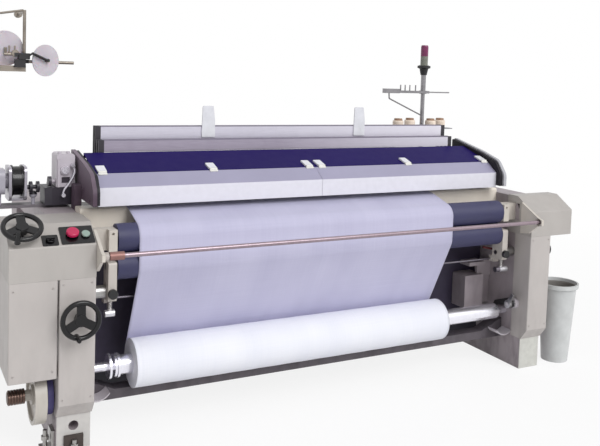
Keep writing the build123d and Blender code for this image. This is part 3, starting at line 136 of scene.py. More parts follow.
def shade(colour, dim=1.0):
    """A screen colour, 0 to 255, put through the screen's power curve into linear light, times dim."""
    screen = np.array(colour) / 255
    linear = np.where(screen <= 0.04045, screen / 12.92, ((screen + 0.055) / 1.055) ** 2.4) * dim
    return (*linear.tolist(), 1.0)


dressed = set()


class Look(Tree):
    """One material, given to the named solids. Its patterns read the point's place on the object."""

    def __init__(self, name, solids=""):
        self.material = bpy.data.materials.new(name)
        self.material.use_nodes = True
        super().__init__(self.material.node_tree)
        self.shader = self.nodes["Principled BSDF"]
        for solid in solids.split():
            nodes[solid].data.materials.clear()
            nodes[solid].data.materials.append(self.material)
            dressed.add(solid)

    def surface(self, **sockets):
        """Sets or links the shader's own sockets; an underscore in a name stands for a space."""
        for key, value in sockets.items():
            self.join(self.shader.inputs[key.replace("_", " ")], value)

    def place(self):
        """The point's place on the object, in metres."""
        return self.node("TexCoord", out="Object")

    def axis(self, name, place=None):
        """One coordinate of that place, or of another one."""
        return self.node("SeparateXYZ", sockets={0: place or self.place()}, out=name)

    def inside(self, **ranges):
        """1 where each named coordinate lies in its range, and 0 elsewhere. None leaves an end open."""
        mask = None
        for name, (low, high) in ranges.items():
            along = self.axis(name)
            for test in (low is not None and along > low, high is not None and along < high):
                if test:
                    mask = mask * test if mask else test
        return mask

    def noise(self, grain, stretch=(1, 1, 1), detail=2.0, roughness=0.5, at=None):
        """Cloudy noise from 0 to 1. Grain is the size of its blobs in metres, made longer by stretch on each axis."""
        scale = tuple(1 / (grain * s) for s in stretch)
        spot = self.node("Mapping", sockets={"Vector": at or self.place(), "Scale": scale})
        sockets = {"Vector": spot, "Scale": 1.0, "Detail": detail, "Roughness": roughness}
        return self.node("TexNoise", sockets=sockets)

    def step(self, value, low=0.3, high=0.7):
        """0 below low, 1 above high and an even rise between them. Noise mostly lies between 0.3 and 0.7."""
        sockets = {"Value": value, "From Min": low, "From Max": high}
        return self.node("MapRange", {"clamp": True}, sockets)

    def blend(self, factor, first, second):
        """The first colour where factor is 0 and the second where it is 1."""
        sockets = {0: factor, 6: first, 7: second}
        return self.node("Mix", {"data_type": "RGBA"}, sockets, out=2)

    def rounded(self, radius):
        """The normal of the same surface with its sharp edges eased to a radius, in metres."""
        return self.node("Bevel", {"samples": 3}, {"Radius": radius})

    def edges(self, radius):
        """0 on a flat face and near 1 along a sharp edge: how far the eased normal leans from the true one."""
        pair = {0: self.rounded(radius), 1: self.node("NewGeometry", out="True Normal")}
        lean = self.node("VectorMath", {"operation": "DOT_PRODUCT"}, pair, out="Value")
        return self.step(1 - lean, 0.02, 0.22)

    def bump(self, height, depth, normal=None):
        """A normal that follows a height from 0 to 1, whose full depth is given in metres."""
        sockets = {"Height": height, "Distance": depth, "Strength": 1.0}
        if normal:
            sockets["Normal"] = normal
        return self.node("Bump", sockets=sockets)

    def zone(self, colour, roughness, metallic=0.0, dim=0.86, mask=None, **ranges):
        """Turns the finish into another one where mask is 1, or inside the ranges. Its colour clouds down to dim."""
        mask = mask or self.inside(**ranges)
        now = {}
        for key in ("Base Color", "Roughness", "Metallic"):
            socket = self.shader.inputs[key]
            now[key] = Wire(self, socket.links[0].from_socket) if socket.links else socket.default_value
        cloud = self.step(self.noise(0.03, detail=4.0))
        clouded = self.blend(cloud, shade(colour, dim), shade(colour))
        self.surface(
            Base_Color=self.blend(mask, now["Base Color"], clouded),
            Roughness=now["Roughness"] * (1.0 - mask) + (roughness + 0.08 * cloud) * mask,
            Metallic=now["Metallic"] * (1.0 - mask) + metallic * mask,
        )


print("a mid grey of 128 is", round(shade((128, 128, 128))[0], 3), "in linear light")

# %% [markdown]
# Light. The loom is photographed on white, under broad soft light from the weaver's side and a
# little from the right. An even sky and one large soft sun do this, at levels where a colour
# renders about as it is written. The floor is part paint and part glow: it stays nearly white,
# keeps the shadow under the machine and fades into the backdrop a few metres away.

# %% Sky, sun and floor
sky_level = 0.52
sun_level = 1.75
white = (1.0, 1.0, 1.0, 1.0)
ray_kinds = ("Is Camera Ray", "Is Glossy Ray", "Is Transmission Ray")

world = bpy.data.worlds.new("studio")
bpy.context.scene.world = world
world.use_nodes = True
sky = Tree(world.node_tree)
sky.nodes.clear()
seen = sky.node("LightPath", out=ray_kinds[0])
for kind in ray_kinds[1:]:
    seen = seen.maths("MAXIMUM", seen, sky.node("LightPath", out=kind))
soft = sky.node("Background", sockets={"Color": white, "Strength": sky_level})
bright = sky.node("Background", sockets={"Color": white, "Strength": 1.0})
either = sky.node("MixShader", sockets={0: seen, 1: soft, 2: bright})
sky.join(sky.nodes.new("ShaderNodeOutputWorld").inputs[0], either)

sun = bpy.data.lights.new("soft_sun", "SUN")
sun.energy = sun_level
sun.angle = 0.6
lamp = bpy.data.objects.new("soft_sun", sun)
lamp.rotation_euler = Vector((-0.35, 1.0, -0.85)).to_track_quat("-Z", "Y").to_euler()
bpy.context.scene.collection.objects.link(lamp)

floor_mesh = bpy.data.meshes.new("floor")
reach = 60.0
corners = [(x * reach, y * reach, -0.001) for x, y in ((-1, -1), (1, -1), (1, 1), (-1, 1))]
floor_mesh.from_pydata(corners, [], [(0, 1, 2, 3)])
floor = bpy.data.objects.new("floor", floor_mesh)
bpy.context.scene.collection.objects.link(floor)

ground = Look("pale_floor")
ground.surface(Base_Color=(0.93, 0.93, 0.93, 1), Roughness=0.9)
spot = ground.node("VectorMath", {"operation": "LENGTH"}, {0: ground.place()}, out="Value")
rays = [ground.node("LightPath", out=kind) for kind in ray_kinds]
looked_at = ground.step(rays[0] + rays[1] + rays[2], 0.0, 1.0)
near_glow = 0.85
glowing = (near_glow + (1 - near_glow) * ground.step(spot, 2.6, 5.5)) * looked_at
glow = ground.node("Emission", sockets={"Color": white, "Strength": 1.0})
painted = Wire(ground, ground.shader.outputs[0])
floor_shader = ground.node("MixShader", sockets={0: glowing, 1: painted, 2: glow})
ground.join(ground.nodes["Material Output"].inputs["Surface"], floor_shader)
floor_mesh.materials.append(ground.material)

bpy.context.scene.view_settings.view_transform = "Standard"
print("sky", sky_level, "sun", sun_level)

# %% [markdown]
# Painted sheet. Baked paint has a faint orange peel, its tone drifts from panel to panel, dust
# gathers low down, and hands and trolleys rub the folded edges. The Bevel node finds those edges
# on any mesh, so one recipe serves every painted part. Castings add a lumpy skin from the mould.

# %% The paint recipe
def paint(name, solids, colour, edge_colour, gloss=0.42, lumps=0.0, dust=0.5, rub=0.5, radius=0.0025, marks=0.0):
    """A painted finish. Gloss is the roughness, lumps is a depth in metres, dust, rub and marks go from 0 to 1."""
    look = Look(name, solids)
    worn = shade(edge_colour)
    tone = look.blend(look.step(look.noise(0.35, detail=3.0)), shade(colour, 0.90), shade(colour))
    low_down = look.step(0.55 - look.axis("Z"), 0.0, 0.55)
    cloud = look.noise(0.05, (1, 1, 2.5), detail=4.0, roughness=0.6)
    dirt = look.step(cloud, 0.42, 0.75) * (0.25 + low_down) * dust
    tone = look.blend(dirt, tone, shade(colour, 0.62))
    if marks:
        spots = look.noise(0.012, detail=5.0, roughness=0.7)
        tone = look.blend(look.step(spots, 0.62, 0.72) * marks, tone, worn)
    broken = look.step(look.noise(0.02, detail=5.0, roughness=0.7), 0.35, 0.65)
    tone = look.blend(look.edges(radius) * broken * rub, tone, worn)
    orange_peel = 0.00004
    normal = look.bump(look.noise(0.0016, detail=1.0), orange_peel, look.rounded(radius))
    if lumps:
        normal = look.bump(look.noise(0.009, detail=4.0, roughness=0.65), lumps, normal)
    look.surface(Base_Color=tone, Roughness=gloss + 0.12 * cloud - 0.05 + 0.2 * dirt, Normal=normal)
    return look


cover_paint = paint("cover_paint", "column_covers left_door", (192, 186, 183), (150, 144, 138), gloss=0.40)
# Painted shade: the desk covers are the column covers' paint, made a little darker.
paint("shaded_desk_paint", "top_covers", (183, 178, 174), (146, 140, 134))
# Painted light: the breast beam's cream is lifted near white, against the shade of the hood above it.
paint("beige_paint", "breast_beam", (252, 243, 230), (150, 136, 118), gloss=0.34, rub=0.6)
# Painted reflection: the roll guards are steel plates; a pale matte paint stands for the bright sheen of their curved
# faces.
paint("guard_painted_sheen", "roll_guards", (206, 200, 206), (150, 144, 150), gloss=0.3, dust=0.3, rub=0.6)
paint("cream_paint", "bar_brackets roller_brackets", (212, 205, 196), (140, 130, 118), gloss=0.34, rub=0.6)

castings = "left_side_frame right_side_frame gear_cases drive_motor"
look = paint("frame_paint", castings, (170, 160, 165), (96, 90, 88), 0.48, 0.00035, dust=0.9, marks=0.25)
column_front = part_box("left_side_frame")[0].y
# The side frames are one paint: the lighter colour on the front faces is painted light, and the darker base on the
# webs is painted shade.
look.zone((200, 197, 194), 0.42, dim=0.9, Y=(None, column_front + 0.004))
# Painted light: the front of the right foot is lighter still, where the light from the right falls on it.
right_foot_x = 1.0
look.zone((204, 204, 198), 0.42, Y=(None, front_y + 0.050), X=(right_foot_x, None))

look = paint("beam_paint", "tie_beams", (88, 82, 88), (58, 54, 56), 0.5, 0.0002, dust=0.8, marks=0.3)
# Painted shade: the splash plate's band is darker than the beams, the navy black of the shaded space behind the cloth.
look.zone((58, 51, 72), 0.5, dim=0.8, Y=(front_y + 0.401, front_y + 0.406))

irons = "sley_swords tension_levers heald_guides motor_pulley"
paint("iron_paint", irons, (112, 106, 106), (70, 64, 62), 0.45, 0.0005, dust=0.8, marks=0.35)
print(len(dressed), "pieces painted")

# %% [markdown]
# The hood. Each lid is one folded sheet with a white front and a lavender slope, and the white
# knuckles of its hinges stand above the slope: one material, which changes by place. Behind the
# hinges lies the fixed navy cover, kept deep by a low specular level. The side plates have black
# rims inside and a pale grey cap outside. The left cap is painted darker as shade, darkest low
# down, since the light comes from the right.

# %% Hood paints
fold_z = 1.0525
slope_run, slope_rise = 0.078, 0.054
slope_y = front_y + 0.308
lid_slope = np.array((slope_run, slope_rise)) / np.hypot(slope_run, slope_rise)

lid_paint = paint("lid_paint", "left_lid right_lid", (166, 163, 188), (214, 214, 224), gloss=0.4, dust=0.25, rub=0.7)
lid_paint.zone((228, 227, 237), 0.4, dim=0.95, Z=(None, fold_z))
lid_paint.surface(Specular_IOR_Level=0.35)
rise = (lid_paint.axis("Z") - (fold_z + slope_rise)) * lid_slope[0]
above_slope = rise - (lid_paint.axis("Y") - slope_y) * lid_slope[1]
lid_paint.zone((240, 239, 234), 0.35, mask=above_slope > 0.0006)

look = paint("navy_paint", "navy_cover", (30, 17, 88), (66, 56, 128), gloss=0.5, dust=0.08, rub=0.6)
look.surface(Specular_IOR_Level=0.06)

cap_x = 1.1102
hood_side = paint("hood_side", "hood_sides", (184, 184, 190), (210, 210, 214), radius=0.003)
# Painted shade: the left cap is the same pale grey, darkened because the light comes from the right.
hood_side.zone((136, 122, 136), 0.5, X=(None, -cap_x))
# Painted shade: the left cap grows darker still towards its foot.
shaded_foot_mask = hood_side.inside(X=(None, -cap_x)) * hood_side.step(hood_side.axis("Z"), 1.2, 1.02)
hood_side.zone((88, 72, 86), 0.5, mask=shaded_foot_mask)
hood_side.zone((34, 31, 38), 0.5, X=(-cap_x, cap_x))
hood_side.surface(Specular_IOR_Level=0.3)
print("lid fold at", round(fold_z, 4), "m")

# %% [markdown]
# Moulded parts. Plastic keeps the fine grain of its mould, scuffs grey on its edges and carries
# no dust streaks. The black handwheels are polished by hands, so their roughness is low. The same
# recipe in red, green, white and pale grey makes the buttons, the hinge leaves and the bin.

# %% The plastic recipe
def plastic(name, solids, colour, scuff, gloss=0.4, grain=0.0009, depth=0.00005, rub=0.4):
    """A moulded finish: a grain of the given size and depth in metres, with scuffed edges."""
    look = Look(name, solids)
    edge_r = 0.002
    cloud = look.noise(0.06, detail=4.0, roughness=0.6)
    tone = look.blend(look.step(cloud), shade(colour, 0.86), shade(colour))
    scratches = look.step(look.noise(0.004, (9, 1, 1), detail=3.0), 0.6, 0.75)
    tone = look.blend(look.edges(edge_r) * rub + scratches * 0.06, tone, shade(scuff))
    normal = look.bump(look.noise(grain, detail=1.0), depth, look.rounded(edge_r))
    look.surface(Base_Color=tone, Roughness=gloss + 0.16 * cloud - 0.08, Normal=normal)
    return look


black_parts = "column_handwheel desk_handwheel side_knob mode_switch panel_plates feeder_drum"
look = plastic("black_plastic", black_parts, (11, 10, 14), (58, 56, 62), gloss=0.22)
look.surface(Specular_IOR_Level=0.35, Coat_Weight=0.12, Coat_Roughness=0.08)
plastic("red_plastic", "stop_button", (200, 34, 88), (230, 120, 150), gloss=0.22, rub=0.3)
plastic("green_plastic", "start_button", (150, 172, 162), (190, 205, 198), gloss=0.26, rub=0.3)
plastic("white_plastic", "hinge_leaves rail_guides", (236, 237, 243), (200, 198, 196), gloss=0.3, rub=0.3)

grey = (156, 156, 156)
bin_plastic = plastic("bin_plastic", "waste_bin", (206, 208, 208), grey, gloss=0.46, grain=0.0014, depth=0.0001)
bin_low, bin_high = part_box("waste_bin")
bin_centre = (bin_low + bin_high) / 2
# Painted shade: the inside of the bin, within its flaring wall, is darker.
bin_foot_r, bin_flare = 0.0705, 0.0667
bin_across = bin_plastic.axis("X") - bin_centre.x
bin_along = bin_plastic.axis("Y") - bin_centre.y
bin_wall = bin_foot_r + bin_flare * bin_plastic.axis("Z")
within_wall = bin_across * bin_across + bin_along * bin_along < bin_wall * bin_wall
bin_plastic.zone((140, 136, 132), 0.55, mask=within_wall * bin_plastic.inside(Z=(0.002, bin_high.z - 0.001)))
print(len(dressed), "pieces dressed")

# %% [markdown]
# The signal lamp is one stack: a black foot, a grey-green lens and a red lens above it. The
# colour steps with height. Fine upright ribs in the bump come from the angle round its axis.

# %% Signal lamp
lamp_low, lamp_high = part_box("signal_lamp")
lamp_axis = (lamp_low + lamp_high) / 2
lens_start = lamp_low.z + 0.062
red_start = lamp_low.z + 0.121
rib_turns = 18.0

lens_look = Look("lamp_lens", "signal_lamp")
tall = lens_look.axis("Z")
to_axis = {"Vector": lens_look.place(), "Location": (-lamp_axis.x, -lamp_axis.y, 0)}
centred = lens_look.node("Mapping", sockets=to_axis)
round_angle = tall.maths("ARCTAN2", lens_look.axis("Y", centred), lens_look.axis("X", centred))
ribs = (round_angle * rib_turns).sine()
lens_cloud = lens_look.step(lens_look.noise(0.02, detail=3.0))
red_lens = lens_look.blend(lens_cloud, shade((104, 30, 74)), shade((134, 44, 98)))
green_lens = lens_look.blend(lens_cloud, shade((108, 110, 102)), shade((134, 136, 126)))
foot_tone = lens_look.blend(lens_cloud, shade((20, 20, 22)), shade((34, 33, 36)))
lens_tone = lens_look.blend(tall > red_start, green_lens, red_lens)
lens_look.surface(
    Base_Color=lens_look.blend(tall > lens_start, foot_tone, lens_tone),
    Roughness=0.18 + 0.3 * (tall < lens_start) + 0.06 * lens_cloud,
    Normal=lens_look.bump(ribs * (tall > lens_start), 0.00025),
)
print("lens from", round(lens_start, 3), "to", round(lamp_high.z, 3), "m")

# %% [markdown]
# Bare metal. Ground shafts show fine rings round their axis, and drawn rails show long lines.
# Both are one noise, pressed flat across the lines and stretched along them. Chrome has shallow
# lines and a low roughness.

# %% The metal recipe
def metal(name, solids, bright, dull, roughness, lines, depth=0.00003, stains=0.4):
    """A bare metal. Lines is the stretch of the tool marks along each axis, on a grain of 0.6 mm."""
    look = Look(name, solids)
    marks = look.noise(0.0006, lines, detail=2.0)
    stained = look.step(look.noise(0.05, detail=4.0, roughness=0.65), 0.45, 0.75) * stains
    tone = look.blend(look.step(marks), shade(dull), shade(bright))
    look.surface(
        Base_Color=look.blend(stained, tone, shade(dull, 0.6)),
        Metallic=1.0,
        Roughness=roughness + 0.12 * (marks - 0.5) + 0.2 * stained,
        Normal=look.bump(marks, depth, look.rounded(0.0012)),
    )
    return look


across_lines = (1, 60, 60)
long_lines = (120, 1, 1)
upright_lines = (60, 60, 1)

metal("turned_steel", "frame_bolts", (186, 184, 182), (150, 147, 144), 0.34, across_lines)
look = metal("jack_steel", "levelling_jacks", (190, 188, 186), (154, 151, 148), 0.32, across_lines)
# Painted shade: the recess round the bolt at the foot is darkened.
look.zone((66, 56, 52), 0.6, Y=(column_front - 0.0125, column_front + 0.002), Z=(0.022, 0.085))
# Painted sheen: the roll's steel neck is near white and partly matte, so that it shows bright where real steel would
# mirror the dark machine.
look = metal(
    "core_steel_painted_sheen", "roll_core", (250, 249, 255), (232, 231, 242), 0.2, across_lines, depth=0.00001, stains=0.15
)
look.surface(Metallic=0.85)
metal("chrome", "back_roller", (205, 203, 204), (180, 177, 178), 0.16, across_lines, depth=0.00001, stains=0.3)
heald_frames = "heald_frame_1 heald_frame_2 heald_frame_3 heald_frame_4"
metal("aluminium", "sley_beam warp_beam " + heald_frames, (196, 197, 202), (164, 165, 170), 0.4, long_lines)
print(len(dressed), "pieces dressed")

# %% [markdown]
# Several pieces are made of more than one stuff: a steel bar with a cream plug and a copper
# sleeve, or a cream lever with a black knob. Each starts from one recipe, and a zone turns it
# into the other where a coordinate says so.

# %% Pieces of two finishes
black = (34, 33, 36)

rubber_x = 1.0402
look = plastic(
    "roller_rubber", "take_up_roller press_roller", (56, 56, 92), (84, 84, 116), 0.55, 0.0022, depth=0.00025
)
look.zone((176, 174, 172), 0.35, 1.0, mask=1.0 - look.inside(X=(-rubber_x, rubber_x)))

plug_x, sleeve_x = -1.1219, (-1.1181, -1.0599)
look = metal(
    "bar_chrome", "operation_bar", (166, 150, 158), (134, 118, 126), 0.3, across_lines, depth=0.000002, stains=0.2
)
look.surface(Metallic=0.75)
look.zone((184, 176, 170), 0.4, X=(None, plug_x))
look.zone((146, 108, 102), 0.42, 0.5, X=sleeve_x)

lever_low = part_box("press_levers")[0]
knob_reach, end_cap, cross_rod_x = 0.0179, 0.031, 1.0437
look = paint("lever_paint", "press_levers", (212, 205, 198), (140, 130, 118), gloss=0.36, rub=0.6)
look.zone((30, 30, 32), 0.4, Y=(None, lever_low.y + knob_reach))
look.zone((214, 213, 218), 0.28, 0.8, Z=(None, lever_low.z + end_cap))
look.zone((124, 119, 128), 0.35, 0.9, X=(-cross_rod_x, cross_rod_x))

latch_grip = (1.1038, 1.1222)
look = metal("latch_steel", "roll_latch", (196, 196, 198), (160, 160, 162), 0.3, (1, 30, 30))
look.zone(black, 0.45, X=latch_grip)

shaft_x, coupling_x = -1.3279, -1.3999
look = paint("wheel_paint", "drive_shaft", (198, 192, 184), (120, 112, 102), gloss=0.35, rub=0.6)
look.zone((150, 148, 146), 0.35, 1.0, X=(shaft_x, None))
look.zone((104, 84, 76), 0.3, 0.8, X=(None, coupling_x))

tray_z = (1.2299, 1.2361)
look = metal("post_steel", "signal_post", (164, 162, 165), (130, 128, 131), 0.34, upright_lines)
look.zone((36, 35, 38), 0.45, X=(1.1785, 1.2275), Y=(front_y + 1.0667, None), Z=(1.4551, 1.4751))
look.zone((150, 150, 156), 0.4, Z=tray_z)

stand_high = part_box("weft_stand")[1]
clamp_x, spindles_x = (-1.3972, -1.33), (-1.3299, -1.2)
stand_steel = metal("stand_steel", "weft_stand", (164, 156, 146), (128, 120, 112), 0.42, upright_lines, stains=0.6)
stand_steel.zone(black, 0.5, X=clamp_x, Z=(1.5515, 1.6145))
stand_steel.zone(black, 0.5, X=spindles_x, Z=(1.58, None))

look = plastic("disc_plastic", "package_discs", (222, 215, 224), (186, 180, 190), gloss=0.3, rub=0.3)
look.surface(Transmission_Weight=0.25, Subsurface_Weight=0.2, Subsurface_Scale=0.01)

plastic("belt_rubber", "drive_belts", (84, 78, 132), (116, 112, 158), gloss=0.55, grain=0.003, depth=0.0002)

look = metal("rod_steel", "lever_pins", (190, 189, 188), (150, 148, 147), 0.3, across_lines)
look.zone((120, 62, 66), 0.4, 0.3, X=(0.99, 1.112), Y=(front_y + 0.189, front_y + 0.211))

look = paint("feeder_cast", "feeder_body", (176, 173, 184), (120, 116, 122), 0.34, 0.0002, dust=0.4, marks=0.2)
look.zone((178, 174, 184), 0.26, 0.7, X=(-1.4195, -1.3405), Z=(0.95, None))
look.zone((40, 36, 46), 0.4, X=(-1.342, -1.28), Y=(None, front_y + 0.546), Z=(0.99, 1.06))
look.zone((120, 114, 120), 0.5, Z=(None, 0.9455))

pump_front = front_y + 0.482
look = paint("pump_cast", "pump_box", (202, 195, 204), (140, 132, 142), 0.36, 0.0004, dust=0.4, marks=0.3)
look.zone((44, 38, 50), 0.5, Z=(None, 1.0255))
look.zone((216, 212, 222), 0.22, 0.7, X=(-1.2215, None), Y=(None, pump_front - 0.0065))
look.zone((52, 48, 58), 0.4, X=(None, -1.2385))
# Painted shade: the recess in the front of the pump is darkened.
recess_y = (pump_front + 0.001, pump_front + 0.0085)
look.zone((58, 50, 62), 0.5, X=(-1.199, -1.161), Y=recess_y, Z=(1.042, 1.070))
print(sorted(set(nodes) - dressed), "are still to be dressed or replaced")

# %% [markdown]
# Fine pieces are surfaces worked out with numpy. A sheet is a grid of points, and a ring closes
# the grid on itself. Repeated small parts are boxes or three-sided threads, hundreds in one mesh.
# One function puts any of them into Blender and makes it ride on its body.

# %% Grids, boxes, threads and how they become pieces
def unit(vectors):
    """Each vector divided by its own length."""
    return vectors / np.linalg.norm(vectors, axis=-1, keepdims=True)


def around(count):
    """Even angles round a full turn, without its end."""
    return np.linspace(0, 2 * np.pi, count, endpoint=False)


def grid_faces(rows, columns, ring_rows=False, ring_columns=False):
    """The four-cornered faces of a grid of points, and each corner's row and column number."""
    row_count = rows if ring_rows else rows - 1
    column_count = columns if ring_columns else columns - 1
    row, column = np.meshgrid(np.arange(row_count), np.arange(column_count), indexing="ij")
    corner_row = np.stack((row, row + 1, row + 1, row), -1).reshape(-1, 4)
    corner_column = np.stack((column, column, column + 1, column + 1), -1).reshape(-1, 4)
    return (corner_row % rows) * columns + corner_column % columns, corner_row, corner_column


def tube_faces(rings, sides):
    """The faces of a tube made of rings of points, closed by a flat cap at both ends."""
    caps = [tuple(range(sides)), tuple(range((rings - 1) * sides, rings * sides))]
    return grid_faces(rings, sides, ring_columns=True)[0].tolist() + caps


def boxes(*ranges):
    """Many closed boxes, from their low and high x, y and z: six of these, each a number or one for every box."""
    rows = np.stack(np.broadcast_arrays(*ranges), -1).reshape(-1, 6)
    pick = np.array([(0, 0, 0), (1, 0, 0), (1, 1, 0), (0, 1, 0), (0, 0, 1), (1, 0, 1), (1, 1, 1), (0, 1, 1)], bool)
    points = np.where(pick[None], rows[:, None, 1::2], rows[:, None, 0::2])
    sides = np.array([(0, 3, 2, 1), (4, 5, 6, 7), (0, 1, 5, 4), (1, 2, 6, 5), (2, 3, 7, 6), (3, 0, 4, 7)])
    faces = np.arange(len(points))[:, None, None] * 8 + sides[None]
    return points.reshape(-1, 3), faces.reshape(-1, 4).tolist()


def threads(across, path, radius):
    """Thin three-sided threads that all follow one path of (y, z) points, each at its own x."""
    run = unit(np.gradient(path, axis=0))
    corner = around(3) + np.pi / 2
    x = across[:, None, None] + radius * np.cos(corner)
    y = path[:, :1] - run[:, 1:] * radius * np.sin(corner)
    z = path[:, 1:] + run[:, :1] * radius * np.sin(corner)
    one = grid_faces(len(path), 3, ring_columns=True)[0]
    starts = np.arange(len(across))[:, None, None] * len(path) * 3
    faces = (starts + one[None]).reshape(-1, 4).tolist()
    tip = np.array([(0, 1, 2), (len(path) * 3 - 1, len(path) * 3 - 2, len(path) * 3 - 3)])
    faces += (starts + tip[None]).reshape(-1, 3).tolist()
    return np.stack(np.broadcast_arrays(x, y, z), -1).reshape(-1, 3), faces


def piece(name, look, points, faces, body, corner_uv=None, weld=False, smooth=True, outward=True):
    """Makes a mesh piece at the origin from points and faces, with its finish and the body that it rides on."""
    mesh = bpy.data.meshes.new(name)
    mesh.from_pydata(np.asarray(points).reshape(-1, 3).tolist(), [], faces)
    if corner_uv is not None:
        mesh.uv_layers.new(name="cloth_metres").data.foreach_set("uv", np.asarray(corner_uv, np.float32).ravel())
    if outward:
        edit = bmesh.new()
        edit.from_mesh(mesh)
        if weld:
            bmesh.ops.remove_doubles(edit, verts=edit.verts, dist=1e-6)
        bmesh.ops.recalc_face_normals(edit, faces=edit.faces)
        edit.to_mesh(mesh)
        edit.free()
    if smooth:
        mesh.shade_smooth()
    mesh.materials.append(look.material)
    made = bpy.data.objects.new(name, mesh)
    bpy.context.scene.collection.objects.link(made)
    if body:
        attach(made, body)
    return made


def joined(*parts):
    """Several lots of points and faces as one lot, with the face numbers moved on."""
    points, faces, start = [], [], 0
    for some_points, some_faces in parts:
        points.append(np.asarray(some_points).reshape(-1, 3))
        faces += [tuple(corner + start for corner in face) for face in some_faces]
        start += len(points[-1])
    return np.concatenate(points), faces


def round_piece(name):
    """The centre (y, z) and the radius of a solid that is round about a line along X."""
    low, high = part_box(name)
    return np.array(((low.y + high.y) / 2, (low.z + high.z) / 2)), (high.z - low.z) / 2


print("a box has", len(boxes(0, 1, 0, 1, 0, 1)[1]), "faces")

# %% [markdown]
# The cloth leaves the breast beam, wraps the navy take-up roller, turns back round the press
# roller under it and runs down to the rear of the cloth roll. Its middle line is made of arcs
# round these four and of straight runs that touch two circles. Between two rollers it is never
# quite flat, so faint tension waves swell there and die out where it is held.

# %% The line that the cloth follows
def touching_run(first, first_r, second, second_r):
    """Where a straight run leaves one circle and meets the next. A radius is negative where the
    circle lies to the right of the run."""
    gap = second - first
    angle = np.arctan2(gap[1], gap[0]) - np.arcsin((second_r - first_r) / np.hypot(*gap))
    left = np.array((-np.sin(angle), np.cos(angle)))
    return first - first_r * left, second - second_r * left


def arc(centre, start, end, turn, count):
    """Points round a circle from start to end, turning left for 1 and right for -1."""
    first = np.arctan2(start[1] - centre[1], start[0] - centre[0])
    last = np.arctan2(end[1] - centre[1], end[0] - centre[0])
    angle = first + ((last - first) * turn % (2 * np.pi)) * turn * np.linspace(0, 1, count)
    radius = np.hypot(*(np.asarray(start) - centre))
    return centre + radius * np.stack((np.cos(angle), np.sin(angle)), -1)


def straight(start, end, count=2):
    """Even points on a straight run, both ends included."""
    return start + (end - start) * np.linspace(0, 1, count)[:, None]


cloth_left, cloth_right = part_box("cloth")[0].x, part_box("cloth")[1].x
cloth_off = 0.0013
upper, upper_r = round_piece("take_up_roller")
lower, lower_r = round_piece("press_roller")
roll, roll_r = round_piece("cloth_roll")
beam_low, beam_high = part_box("breast_beam")
edge_r = 0.012
corner = np.array((beam_low.y + edge_r, beam_high.z - edge_r))
corner_r = edge_r + 0.00085
fell = np.array((beam_high.y + 0.008, beam_high.z + 0.0008))
end_angle = -0.39

leave_beam, meet_upper = touching_run(corner, corner_r, upper, upper_r + cloth_off)
leave_upper, meet_lower = touching_run(upper, upper_r + cloth_off, lower, lower_r + cloth_off)
leave_lower, meet_roll = touching_run(lower, lower_r + cloth_off, roll, -(roll_r + cloth_off))
beam_top = corner + (0, corner_r)
roll_end = roll + (roll_r + 0.0006) * np.array((np.cos(end_angle), np.sin(end_angle)))
runs = [
    (straight(fell, beam_top, 12), 0),
    (arc(corner, beam_top, leave_beam, 1, 6), 0),
    (straight(leave_beam, meet_upper, 14), 1),
    (arc(upper, meet_upper, leave_upper, 1, 34), 0),
    (straight(leave_upper, meet_lower, 4), 0),
    (arc(lower, meet_lower, leave_lower, 1, 26), 0),
    (straight(leave_lower, meet_roll, 40), 1),
    (arc(roll, meet_roll, roll_end, -1, 22), 0),
]
line = np.concatenate([points[:-1] for points, _ in runs] + [runs[-1][0][-1:]])
free = np.concatenate([np.sin(np.pi * np.linspace(0, 1, len(p)))[:-1] * f for p, f in runs] + [np.zeros(1)])
line_length = np.concatenate(([0], np.cumsum(np.hypot(*np.diff(line, axis=0).T))))
print("cloth", round(cloth_right - cloth_left, 3), "m wide and", round(line_length[-1], 3), "m long from fell to roll")

# %% [markdown]
# Plain weave. Warp and weft cross over and under like a chessboard of tiny pillows, which is the
# product of two sine waves, one across and one along the cloth. The pattern reads the cloth's own
# coordinates in metres, so it follows every bend. Faint streaks along the warp and finer bars
# across it are what reed and picking leave.

# %% The weave recipe and the cloth
def woven(name, light, shadow, thread=0.0011, depth=0.00012, sheen=0.25):
    """A plain weave on the piece's own coordinates. Thread is the pitch of the yarns in metres."""
    look = Look(name)
    flat = look.node("UVMap", {"uv_map": "cloth_metres"})
    wave = np.pi / thread
    pillows = (look.axis("X", flat) * wave).sine() * (look.axis("Y", flat) * wave).sine()
    streaks = look.noise(0.003, (1, 260, 1), detail=3.0, at=flat)
    bars = look.noise(0.004, (220, 1, 1), detail=3.0, at=flat)
    drift = look.noise(0.22, (1, 1.6, 1), detail=2.0, at=flat)
    # Besides streaks, bars and drift in tone, the pillows darken the colour a little in their hollows: painted shade
    # of the weave's relief.
    mixed = 0.26 * streaks + 0.22 * bars + 0.52 * drift + 0.05 * pillows
    look.surface(
        Base_Color=look.blend(look.step(mixed, 0.3, 0.66), shade(shadow), shade(light)),
        Roughness=0.62 + 0.14 * streaks,
        Sheen_Weight=sheen,
        Sheen_Roughness=0.4,
        Specular_IOR_Level=0.35,
        Normal=look.bump(pillows * 0.5 + 0.5, depth),
    )
    return look


